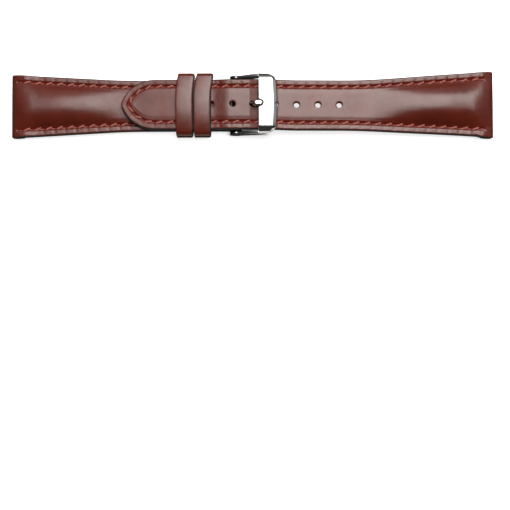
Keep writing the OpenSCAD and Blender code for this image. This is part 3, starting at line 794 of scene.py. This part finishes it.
short_stitch_count = int((short_fold_u - seam_start) / stitch_pitch)
first_u = seam_start + stitch_len / 2
last_u = first_u + (short_stitch_count - 1) * stitch_pitch
stitches = stitch_tree()
short_stitches = sew(
    "short_stitches",
    [[short_seam(u, side) for u in steps(first_u, last_u, seam_step)] for side in (1, -1)],
    short_stitch_count, stitches, waxed,
)
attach(short_stitches, "strap")
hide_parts("short_thread_left", "short_thread_right")


# Face leather of the long piece. It is cut from the same calf, to a point, and rolled round its own
# lug tunnel. The holes are punched through it after stitching, and the one in use has worn long.
long_low, long_high = (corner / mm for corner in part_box("long_upper"))
long_len = long_high.x - long_low.x
tail_w = 15.7
long_taper = 42
long_lug_w = lug_w + 0.8  # this end has spread a little
point_len = 10.4
point_r = 2.9
hole_r = 0.9
hole_pitch = 6.7
hole_count = 8
first_hole = 21.35
used_hole = 3
hole_wear = 0.5
hole_lip = 0.35  # width of the rim that the punch pressed down
hole_lip_depth = 0.13
rub_from, rub_to = -1.1, 8.2  # between these places the crossbar has rubbed the face dull
tail_rub = 0.6  # how dull the tail is, which has run through the keepers
rub_fade, tail_fade = 0.5, 1.5
punch_len, punch_z = 30, 5
tongue_reach = 5.55
tail_gap, hump_gap = 0.4, 0.35  # room between the pieces, along the tail and over the fold
tail_z = under_z + thin_t + tail_gap
hump_z = bar.z + fold_r + hump_gap
climb_x = bar.x - 7.85  # the tail comes down to here
hump_x = bar.x - fold_r
slope_x = bar.x + tongue_reach + 2.2  # the long piece goes down to its lug end from here
slope_end_x = long_high.x - 2 * roll_r
tip_lift = 0.38  # the tip rides up on the short piece's pad
tip_lift_from, tip_lift_over = -36, 5
long_bow = 0.33  # beyond the buckle the piece bows towards its front edge
bow_from, bow_in, bow_to, bow_out = 2, 12, 68, 36
end_sway, sway_from, sway_over = 0.1, 40, 34  # and its lug end lies back a little
roll_spread = 0.25  # the roll stands out at its front end
spread_len, spread_over, spread_y, spread_across = 5.4, 1.2, 8.9, 0.8
fine_step, fine_len = 0.25, 75  # of the face's stations, from the point over this length
point_w = tail_w / 2
side_r = ((point_len - point_r) ** 2 + point_w**2 - point_r**2) / (2 * (point_w - point_r))
turn = atan2(point_len - point_r, side_r - point_w)
straight_seam = long_len - point_len - seam_start
side_seam = (side_r - seam_in) * turn
nose_seam = (point_r - seam_in) * (pi / 2 - turn)
half_seam = straight_seam + side_seam + nose_seam
long_stitch_count = 2 * round(half_seam / stitch_pitch)
long_pitch = 2 * half_seam / long_stitch_count


def long_under(x):
    if x < slope_x:
        lift = tip_lift * smooth((tip_lift_from - x) / tip_lift_over)
        return tail_z + lift + (hump_z - tail_z) * smooth((x - climb_x) / (hump_x - climb_x))
    return hump_z + (under_z - hump_z) * clamp01((x - slope_x) / (slope_end_x - slope_x))


def long_station(u):
    d = u - seam_start if u > seam_start - 1.2 else None
    return long_high.x - u, half_width(u, tail_w, long_taper, long_lug_w), (0, -1), u, d


def side_station(a):
    s = point_len - side_r * sin(a)
    half = point_w - side_r * (1 - cos(a))
    d = straight_seam + (side_r - seam_in) * a
    return long_low.x + s, half, (sin(a), -cos(a)), long_len - s, d


def nose_station(a):
    s = point_r * (1 - sin(a))
    d = straight_seam + side_seam + (point_r - seam_in) * (a - turn)
    return long_low.x + s, point_r * cos(a), (sin(a), -cos(a)), long_len - s, d


def nearest_hole(x):
    """The number of the hole nearest to x, and how far x lies beyond its middle."""
    i = max(0, min(hole_count - 1, round((x - long_low.x - first_hole) / hole_pitch)))
    return i, x - long_low.x - first_hole - i * hole_pitch


def hole_dip(x, y):
    """The leather is pressed down a little round each hole."""
    away = hypot(nearest_hole(x)[1], y) - hole_r
    return hole_lip_depth * clamp01(1 - away / hole_lip) ** 2


def long_face_top(u, s, f, d, x, y, beyond):
    d = d * stitch_pitch / long_pitch if d is not None else None
    return nose(u, long_under(x) + face_height(u, s, f, d, x, y, beyond) - hole_dip(x, y))


def long_face_bottom(u, s, f, x, y):
    return under_roll(u) if u <= 2 * roll_r else long_under(x) + bed_height(u, s, f)


def to_the_point(us, side_gap, nose_gap):
    """Stations at the given ways from the lug end, then on round the point at gaps in degrees."""
    return (
        [long_station(u) for u in us]
        + [side_station(a) for a in steps(0, turn, radians(side_gap))[1:]]
        + [nose_station(a) for a in steps(turn, pi / 2, radians(nose_gap))[1:]]
    )


long_us = roll_us + steps(flat_u, long_len - fine_len, face_step)
long_us += steps(long_len - fine_len + fine_step, long_len - point_len, fine_step)
long_stations = to_the_point(long_us, 1.6, 2.7)
long_face = skin("long_face", long_stations, face_across, long_face_top, long_face_bottom, pointed=True)


def bow(piece):
    """Bends the piece sideways, as the photographed one lies."""
    for vertex in piece.data.vertices:
        x, y = vertex.co.x / mm, vertex.co.y / mm
        away = end_sway * smooth((x - sway_from) / sway_over)
        away -= long_bow * smooth((x - bow_from) / bow_in) * smooth((bow_to - x) / bow_out)
        on_roll = smooth((x - long_high.x + spread_len) / spread_over)
        vertex.co.y += (away - roll_spread * on_roll * smooth((-spread_y - y) / spread_across)) * mm


def punches():
    """Cutters for the row of holes."""
    places = [at(long_low.x + first_hole + i * hole_pitch, 0, punch_z) for i in range(hole_count)]
    shapes = [cylinder(hole_r, punch_len, Matrix.Translation(place), 40) for place in places]
    for vertex in shapes[used_hole].verts:
        if vertex.co.x < (bar.x + tongue_reach) * mm:
            vertex.co.x -= hole_wear * mm
    return shapes


combine(long_face, [rod(long_high.x - roll_r, roll_r, tunnel_r, 2 * lug_w)] + punches())
crease(long_face)


def in_punch(x, y):
    """1 on the wall of a hole."""
    i, dx = nearest_hole(x)
    if i == used_hole and dx < 0:
        dx = min(0, dx + hole_wear)
    return 1 if hypot(dx, y) < hole_r + 0.03 else 0


mark_face(
    long_face, [station for station in long_stations if station[3] > roll_r],
    lambda x: smooth((long_high.x - x - seam_start) / crease_run + 1), in_punch,
)
mark(long_face, "rubbed", lambda x, y, z: max(
    smooth((x - rub_from) / rub_fade) * smooth((rub_to - x) / rub_fade),
    tail_rub * smooth((climb_x - x) / tail_fade),
))
bow(long_face)
long_face.data.materials.append(calf)
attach(long_face, "strap")
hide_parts("long_upper")


# Filler of the long piece. The same pressed fibre, skived thin from the pad to the point and punched
# together with the leathers.
long_inner = to_the_point(steps(2 * roll_r + end_gap, long_len - point_len, filler_step), 5, 7)
long_filler = pad("long_filler", long_inner, long_under, pointed=True)
combine(long_filler, punches())
crease(long_filler)
bow(long_filler)
long_filler.data.materials.append(felt)
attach(long_filler, "strap")
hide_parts("long_padding")


# Lining of the long piece. The same napped leather, glued under the filler and trimmed to the point
# with the face.
long_back = backing("long_back", long_inner, long_under, pointed=True)
combine(long_back, punches())
crease(long_back)
mark_face(long_back, long_inner, punched=in_punch)
bow(long_back)
long_back.data.materials.append(nap)
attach(long_back, "strap")
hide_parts("long_lining")


# Seam of the long piece. One waxed thread runs down one edge, round the point and back, in stitches
# as long as the short piece's.
long_seam_step = 0.2


def long_seam(t):
    side, d = (1, t) if t <= half_seam else (-1, 2 * half_seam - t)
    if d < straight_seam:
        station = long_station(seam_start + d)
    elif d < straight_seam + side_seam:
        station = side_station((d - straight_seam) / (side_r - seam_in))
    else:
        station = nose_station(turn + (d - straight_seam - side_seam) / (point_r - seam_in))
    x, half, (nx, ny), u, _ = station
    x, y = x + nx * seam_in, half + ny * seam_in
    bottom = panel_height(u, 1) - trough_depth + unevenness(x, side * y)
    return x, side * y, nose(u, long_under(x) + bottom) + thread_rest


long_stitches = sew(
    "long_stitches",
    [[long_seam(t) for t in steps(long_pitch / 2, 2 * half_seam - long_pitch / 2, long_seam_step)]],
    long_stitch_count, stitches, waxed,
)
bow(long_stitches)
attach(long_stitches, "strap")
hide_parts("long_thread")


# Fixed keeper. A loop of the same calf, folded round the short piece next to the buckle, its ends
# butted underneath. Its edges are painted dark.
keeper_t = 1.2
keeper_corner_r = 1.6
keeper_sag = 0.9  # how far the loop's top falls to its corners
inner_sag = 0.45
keeper_crown = 0.1  # how far a loop bulges between its edges
edge_soft = 0.3  # radius of a loop's left edge
skived_w = 0.85  # width and depth to which its right edge is pared
skived_t = 0.5
edge_spread = 0.08  # how far its pressed edges spread
corner_draw, draw_len = 0.05, 2.2  # share by which a loop is narrower where it is folded
loop_unevenness = 0.03


def loop_contour(half, low, high, r, sag):
    """Points round a loop, from the middle of its underside, one side and then the other."""
    lean = 0
    for _ in range(3):
        end = half - r + r * sin(lean)
        lean = atan(2 * sag / end)
    drop = sag / end**2
    corner_z = high - drop * end**2 - r * cos(lean)
    side = [(y, low) for y in steps(0, half - r, 1.6)[:-1]]
    side += [(half - r + r * sin(a), low + r - r * cos(a)) for a in spread(0, pi / 2, 10)]
    side += [(half, z) for z in steps(low + r, corner_z, 0.8)[1:-1]]
    side += [(half - r + r * sin(a), corner_z + r * cos(a)) for a in spread(pi / 2, lean, 9)]
    side += [(y, high - drop * y * y) for y in spread(end, 0, 14)[1:]]
    return side + [(-y, z) for y, z in reversed(side[1:-1])]


def evenly(contour, like):
    """As many points as like has, at the same shares of the way round."""
    def lengths(points):
        total = [0]
        for a, b in zip(points, points[1:] + points[:1]):
            total.append(total[-1] + dist(a, b))
        return total

    own, other = lengths(contour), lengths(like)
    closed = contour + contour[:1]
    result = []
    k = 0
    for length in other[:-1]:
        goal = length / other[-1] * own[-1]
        while own[k + 1] < goal:
            k += 1
        t = (goal - own[k]) / (own[k + 1] - own[k])
        result.append(tuple(a + (b - a) * t for a, b in zip(closed[k], closed[k + 1])))
    return result


def rounded(width, depth, gap):
    """Points over a rounded edge, by how far in they lie and how far they fall, from its inner end."""
    return [(width * (1 - sin(a)), depth * (1 - cos(a))) for a in steps(0, pi / 2, gap)]


def leather_loop(name, low, high, lean):
    """A loop whose top leans along the strap on its far side, and which is drawn in at its corners."""
    half_y, half_x, middle = (high.y - low.y) / 2, (high.x - low.x) / 2 + edge_spread, (high.x + low.x) / 2
    outer = loop_contour(half_y, low.z, high.z, keeper_corner_r, keeper_sag)
    inner = loop_contour(
        half_y - keeper_t, low.z + keeper_t, high.z - keeper_t, keeper_corner_r - keeper_t, inner_sag
    )
    inner = evenly(inner, outer)
    profile = [(-half_x + s, 1 - fall / keeper_t) for s, fall in reversed(rounded(edge_soft, edge_soft, 0.2))]
    profile += [(x, 1) for x in steps(-half_x + edge_soft, half_x - skived_w, 0.5)[1:-1]]
    profile += [(half_x - s, 1 - fall / keeper_t) for s, fall in rounded(skived_w, skived_t, 0.2)]
    right = [(half_x, 0.4), (half_x, 0.1), (half_x - 0.1, 0)]
    profile += right + [(-x, t) for x, t in reversed(right)]
    points, painted = [], []
    for (oy, oz), (iy, iz) in zip(outer, inner):
        fold = smooth((abs(oy) - half_y) / draw_len + 1)
        for x, t in profile:
            y, z = iy + (oy - iy) * t, iz + (oz - iz) * t
            z -= keeper_crown * (x / half_x) ** 2 * t * smooth(z / 2)
            z += loop_unevenness * noise.noise(Vector((x / 4 + middle, y / 4, z / 4)))
            shift = lean * smooth((y - 2) / half_y) * smooth(z / 2)
            points.append((middle + x * (1 - corner_draw * fold) + shift, y, z))
            painted.append(clamp01(max(
                (1 - t) * keeper_t / edge_soft - 0.5, (x - half_x + 0.75 * skived_w) / (0.5 * skived_w)
            )))
    loop = new_piece(name, points, hoop_faces(len(outer), len(profile), closed=True))
    crease(loop, 50)
    nearest = finder(points)
    mark(loop, "paint", lambda x, y, z: painted[nearest.find((x, y, z))[1]])
    loop.data.materials.append(calf)
    return loop


fixed_low, fixed_high = (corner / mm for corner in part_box("fixed_keeper"))
fixed_loop = leather_loop("fixed_loop", fixed_low, fixed_high, 1.0)
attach(fixed_loop, "strap")
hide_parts("fixed_keeper")


# Free keeper. The same loop of folded calf with painted edges, but not fastened: it slides along the
# strap and holds its tail down.
free_low, free_high = (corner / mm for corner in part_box("free_keeper"))
free_loop = leather_loop("free_loop", free_low, free_high, 0.7)
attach(free_loop, "keeper")
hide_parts("free_keeper")


# Buckle frame. One piece of polished steel: a wide crossbar with a chamfered rim, its ends bent down
# to two arms, whose eyes sit on the tips of the spring bar. A notch takes the end of the tongue.
frame_top = (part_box("buckle_frame")[1] / mm).z
frame_half = 9.48  # half the crossbar's width, outside
bend_r = 2.6  # radius of its bent ends, outside
plate_t = 1.6
leg_t = 1.35  # thickness where it is bent down
plate_from = 1.85  # the crossbar's inner edge
end_x, end_b, end_r = 1.2, 6.6, 6.1  # middle and radius of its rounded ends, laid flat
bow_r = 70  # radius of its outer edge
rim_w = 1.05
rim_drop = 0.72
rim_soft, rim_r = 0.12, 0.1  # of the rim's inner and its outer edge
inner_r, under_r = 0.2, 0.25  # of the crossbar's inner edge and its lower edge
no_edge = 9  # a distance at which an edge has no effect
bend_from = frame_half - bend_r
quarter = bend_r * pi / 2


def frame_point(x, b, n):
    """Bends the flat plate: b runs across the strap along its upper side, n up from its lower side."""
    side = -1 if b < 0 else 1
    b = abs(b)
    share = clamp01((b - bend_from) / quarter)
    depth = (plate_t - n) * (1 + (leg_t / plate_t - 1) * smooth(share))
    if not share:
        return x, side * b, frame_top - depth
    a = share * pi / 2
    down = max(0, b - bend_from - quarter)
    return (
        x, side * (bend_from + (bend_r - depth) * sin(a)),
        frame_top - bend_r + (bend_r - depth) * cos(a) - down,
    )


def rim_fall(s):
    """The chamfer, with its two edges softened."""
    return rim_drop / rim_w * ramp(rim_w - s, rim_soft) + fillet(s, rim_r)


def plate_station(angle):
    nx, ny = cos(angle), sin(angle)
    x = end_x + end_r * nx
    return x, end_b + end_r * ny, (-nx, -ny), x - plate_from, None


def end_angle(u):
    """Where on the rounded end the crossbar's inner edge is u away."""
    return acos((plate_from + u - end_x) / end_r)


bow_middle = end_x - sqrt((bow_r - end_r) ** 2 - end_b**2)
bow_angle = asin(end_b / (bow_r - end_r))
plate_stations = [
    (plate_from + u, plate_station(end_angle(u))[1], (0, -1), u, None)
    for u in (0, 0.02, 0.06, 0.12, 0.2, 0.35, 0.55)
]
plate_stations += [plate_station(a) for a in steps(end_angle(0.95), bow_angle, 0.035)]
plate_stations += [
    (bow_middle + bow_r * cos(a), bow_r * sin(a), (-cos(a), -sin(a)), no_edge, None)
    for a in steps(bow_angle, 0, 0.012)[1:]
]
plate_insets = [0, 0.02, 0.06, 0.1, 0.3, 0.6, 0.93, 0.99, 1.05, 1.11, 1.17]
plate_shares = [1 - i * 0.014 for i in range(1, 37)] + [0.42, 0.34, 0.26, 0.19, 0.13, 0.09, 0.05, 0]
plate_across = [(s, 1) for s in plate_insets] + [(plate_insets[-1], f) for f in plate_shares]
buckle = skin(
    "buckle", plate_stations, plate_across,
    lambda u, s, f, d, x, y, beyond: plate_t - rim_fall(s if f == 1 else no_edge) - fillet(u, inner_r),
    lambda u, s, f, x, y: fillet(s if f == 1 else no_edge, under_r) + fillet(u, inner_r),
    pointed=True,
)
for vertex in buckle.data.vertices:
    vertex.co = at(*frame_point(*(vertex.co / mm)))

eye_r = 1.9
pivot_r, pivot_len = 0.5, 30  # of the bore through both arms for the spring bar's tips
arm_end_x = 4.0
arm_edge = 0.25  # radius of an arm's edges
arm_y, arm_half_t, arm_lean = 8.78, 0.53, 0.15
arm_rise, rise_len = 2.95, 7.4  # of an arm's upper side, from the eye to the crossbar
tuck, tuck_from, tuck_len = 0.5, 2, 2.5  # where the upper side goes down under the crossbar
close_from, close_len = 2.6, 1.4  # where the lower side comes up to the upper one
arm_slope = radians(27.6)  # of the lower side
slope_from = bar.x + eye_r * sin(arm_slope)


def round_eye(x):
    return root(eye_r**2 - (x - bar.x) ** 2)


def arm_top(x):
    if x <= bar.x:
        return bar.z + round_eye(x)
    rise = arm_rise * smooth((x - bar.x) / rise_len)
    return bar.z + eye_r + rise - tuck * smooth((x - tuck_from) / tuck_len)


def arm_bottom(x):
    if x <= slope_from:
        return bar.z - round_eye(x)
    line = bar.z - eye_r * cos(arm_slope) + (x - slope_from) * tan(arm_slope)
    return line + (arm_top(x) - line) * smooth((x - close_from) / close_len) ** 2


def arm_edge_fall(x, s, f):
    height = (arm_top(x) - arm_bottom(x)) / 2
    return fillet(s if f == 1 else no_edge, arm_edge) * min(1, height / (2 * arm_edge))


def taken_from(piece):
    """The shape of a piece, which is then put away."""
    shape = bmesh.new()
    shape.from_mesh(piece.data)
    bpy.data.objects.remove(piece)
    return shape


arm_xs = [bar.x - eye_r * cos(a) for a in steps(0, pi / 2, 0.12)]
arm_xs += steps(bar.x + 0.2, arm_end_x, 0.22)
arms = []
for side in (1, -1):
    arm = skin(
        "arm", [(x, arm_half_t, (0, -1), x, None) for x in arm_xs],
        [(0, 1), (0.02, 1), (0.07, 1), (0.15, 1), (0.25, 1), (0.25, 0)],
        lambda u, s, f, d, x, y, beyond: arm_top(u) - arm_edge_fall(u, s, f),
        lambda u, s, f, x, y: arm_bottom(u) + arm_edge_fall(u, s, f),
    )
    for vertex in arm.data.vertices:
        lean = arm_lean * clamp01((vertex.co.x / mm - bar.x - eye_r) / 5)
        vertex.co.y += side * (arm_y + lean) * mm
    arms.append(taken_from(arm))
combine(buckle, arms, "UNION")

notch_z = frame_top - 1.05  # its floor
notch_half = 1.15
notch_end = 3.55
notch_flare, flare_len = 0.8, 0.75
notch_shade_z = 7  # no shade is painted below this height
notch_shade_round, notch_shade_depth, notch_shade_fade = 0.1, 0.25, 0.3  # how far the painted shade reaches round the notch, and from how far down it


def notch_width(x):
    """Half the notch's width, flared where the tongue enters it."""
    round_end = notch_half * root(1 - max(0, (x - notch_end + notch_half) / notch_half) ** 2)
    return round_end + notch_flare * max(0, 1 - (x - plate_from) / flare_len) ** 2


notch_xs = [plate_from - 0.3] + steps(plate_from, notch_end - notch_half, 0.08)
notch_xs += [notch_end - notch_half * (1 - sin(a)) for a in steps(0, pi / 2, 0.16)][1:-1]
notch_line = [(x, notch_width(x)) for x in notch_xs]
notch_line += [(notch_end, 0)] + [(x, -y) for x, y in reversed(notch_line)]
groove = bmesh.new()
floor = [groove.verts.new(at(x, y, notch_z)) for x, y in notch_line]
lid = [groove.verts.new(at(x, y, frame_top + 1)) for x, y in notch_line]
groove.faces.new(floor)
groove.faces.new(lid)
for k in range(-1, len(notch_line) - 1):
    groove.faces.new((floor[k], floor[k + 1], lid[k + 1], lid[k]))
bmesh.ops.recalc_face_normals(groove, faces=groove.faces)
combine(buckle, [rod(bar.x, bar.z, pivot_r, pivot_len), groove])
crease(buckle, 30)


def in_notch(x, y, z):
    """1 where shade is painted in the notch, darker deeper down."""
    if z <= notch_shade_z or abs(y) >= notch_width(max(x, plate_from)) + notch_shade_round:
        return 0
    return clamp01((frame_top - notch_shade_depth - z) / notch_shade_fade)


# The top face is satin, rougher than the rest, and its colour is made darker as painted shade.
mark(buckle, "satin_and_shade", lambda x, y, z: 1 if z > frame_top - 0.01 else 0)
mark(buckle, "notch_painted_shade", in_notch)

# Steel: a polish with faint hairlines, and a few short scratches that catch the light.
hairlines, given, result = new_effect("hairlines", ["Fineness"], ["Lines", "Haze"])
along = add_node(hairlines, "ShaderNodeVectorMath", (given["Place"], (1, 0.05, 1)), operation="MULTIPLY")
turned = add_node(hairlines, "ShaderNodeVectorRotate", {"Vector": given["Place"], "Angle": 0.7})
across = add_node(hairlines, "ShaderNodeVectorMath", (turned.outputs[0], (0.04, 1, 1)), operation="MULTIPLY")
fine = speckle(hairlines, along.outputs[0], given["Fineness"], 2)["Fac"]
stray = speckle(hairlines, across.outputs[0], given["Fineness"], 1)["Fac"]
fine, stray = map_range(hairlines, fine, 0.56, 0.7), map_range(hairlines, stray, 0.66, 0.74)
hairlines.links.new(calculate(hairlines, "MAXIMUM", fine, stray), result["Lines"])
hairlines.links.new(speckle(hairlines, given["Place"], 350, 3)["Fac"], result["Haze"])

polished, tree, shader, place = new_finish("polished_steel", 0.08, metallic=1)
wear = use_effect(tree, hairlines, Place=place, Fineness=5000)
height = add_node(tree, "ShaderNodeSeparateXYZ", (place,)).outputs["Z"]
# Painted shade: the steel turns nearly black below 4.1 mm and fades back by 6.6 mm, low beside and under the
# strap.
low_painted_shade = map_range(tree, height, 4.1 * mm, 6.6 * mm, 0.12)
satin_and_shade_mark = read_mark(tree, "satin_and_shade")
bright = mix_colour(tree, wear["Haze"], (0.66, 0.66, 0.65, 1), (0.74, 0.74, 0.74, 1))
# The satin top's darker colour is painted shade.
satin_and_shade = mix_colour(tree, satin_and_shade_mark, bright, (0.46, 0.46, 0.457, 1))
# Painted shade in the notch round the tongue, darkest at its floor.
notch_painted_shade = mix_colour(tree, read_mark(tree, "notch_painted_shade"), satin_and_shade, (0.02, 0.018, 0.016, 1))
feed(shader, "Base Color", mix_colour(tree, low_painted_shade, (0.03, 0.03, 0.03, 1), notch_painted_shade))
smear = map_range(tree, wear["Haze"], 0, 1, 0.04, 0.1)
brushed = calculate(tree, "MULTIPLY_ADD", satin_and_shade_mark, 0.26, smear)
feed(shader, "Roughness", calculate(tree, "MULTIPLY_ADD", wear["Lines"], 0.1, brushed))
add_bump(tree, shader, wear["Lines"], -0.0004)
buckle.data.materials.append(polished)
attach(buckle, "buckle")
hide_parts("buckle_frame")


# Tongue of the buckle. A flattened rod of the same steel, rolled into an eye round the spring bar. It
# runs under the long piece, comes up through the hole in use and lies in the crossbar's notch.
tongue_half_w = 0.86
tongue_half_t = 0.45
tongue_eye_r = 1.32
tongue_hole_r = 0.95
tongue_eye_half = 1.25
low_turn_r = 1.2
high_turn_r = 0.85
riser_x = bar.x + tongue_reach
notch_gap = 0.2
lie_z = notch_z + notch_gap + tongue_half_t
rod_start = 1.15  # from the bar, inside the wall of the eye
tip_x = 3.2
tip_len = 1.5  # length over which the tip is rounded
tongue_sides, eye_sides = 32, 56
run_step, lie_step = 0.3, 0.2  # between the rings on the straight stretches
bend_step, tip_step = 0.1, 0.12  # radians between the rings in a bend and round the tip
eye_edge_r, eye_hole_edge = 0.22, 0.05
tongue_path = [(x, bar.z, 0) for x in steps(bar.x + rod_start, riser_x - low_turn_r, run_step)]
tongue_path += [
    (riser_x - low_turn_r + low_turn_r * sin(a), bar.z + low_turn_r * (1 - cos(a)), a)
    for a in steps(0, pi / 2, bend_step)[1:]
]
riser_zs = steps(bar.z + low_turn_r, lie_z - high_turn_r, run_step)[1:-1]
tongue_path += [(riser_x, z, pi / 2) for z in riser_zs]
tongue_path += [
    (riser_x + high_turn_r * (1 - cos(a)), lie_z - high_turn_r + high_turn_r * sin(a), pi / 2 - a)
    for a in steps(0, pi / 2, bend_step)
]
tongue_path += [(x, lie_z, 0) for x in steps(riser_x + high_turn_r, tip_x - tip_len, lie_step)[1:-1]]
tongue_path += [(tip_x - tip_len * (1 - sin(a)), lie_z, 0) for a in steps(0, pi / 2, tip_step)]


def tongue_ring(x, z, a):
    """A rounded rectangle square to the path, drawn in towards the tip."""
    on_tip = clamp01((x - tip_x + tip_len) / tip_len) if z > lie_z - 0.01 else 0
    width = tongue_half_w * root(1 - on_tip**2.6)
    height = tongue_half_t * root(1 - on_tip**4)
    for t in spread(0, 2 * pi, tongue_sides)[:-1]:
        c, s = cos(t), sin(t)
        side = copysign(abs(c) ** 0.55, c) * width
        up = copysign(abs(s) ** 0.75, s) * height
        yield x - up * sin(a), side, z + up * cos(a)


tongue = new_piece(
    "tongue", [point for x, z, a in tongue_path for point in tongue_ring(x, z, a)],
    hoop_faces(len(tongue_path), tongue_sides) + [tuple(range(tongue_sides))],
)

eye_profile = [
    (tongue_eye_half - s, tongue_eye_r - fall) for s, fall in reversed(rounded(eye_edge_r, eye_edge_r, 0.26))
]
eye_profile += [(-y, r) for y, r in reversed(eye_profile)]
hole_edge = [
    (tongue_eye_half - eye_hole_edge, tongue_hole_r), (tongue_eye_half, tongue_hole_r + eye_hole_edge)
]
eye_profile += [(-y, r) for y, r in reversed(hole_edge)] + hole_edge
eye = new_piece(
    "eye",
    [
        (bar.x + r * cos(a), y, bar.z + r * sin(a))
        for a in spread(0, 2 * pi, eye_sides)[:-1] for y, r in eye_profile
    ],
    hoop_faces(eye_sides, len(eye_profile), closed=True),
)
combine(tongue, [taken_from(eye)], "UNION")
crease(tongue, 35)
tongue.data.materials.append(polished)
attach(tongue, "tongue")
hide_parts("buckle_tongue")


# Spring bar of the buckle. A turned tube with a coil spring inside, which pushes a flanged pin out of
# each end into the eyes of the arms. Its pieces are left plain from the lathe.
turned_steel, tree, shader, place = new_finish("turned_steel", 0.3, metallic=1)
wear = use_effect(tree, hairlines, Place=place, Fineness=9000)
lathe = add_node(
    tree, "ShaderNodeTexWave", {"Vector": place, "Scale": 4200, "Distortion": 1.5, "Detail": 2},
    bands_direction="Y",
).outputs["Fac"]
feed(shader, "Base Color", mix_colour(tree, wear["Haze"], (0.42, 0.42, 0.43, 1), (0.6, 0.6, 0.61, 1)))
feed(shader, "Roughness", map_range(tree, lathe, 0, 1, 0.24, 0.4))
add_bump(tree, shader, lathe, 0.003)
for name in ("bar_barrel", "bar_spring", "bar_pin_left", "bar_pin_right"):
    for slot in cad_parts[name].material_slots:
        slot.material = turned_steel
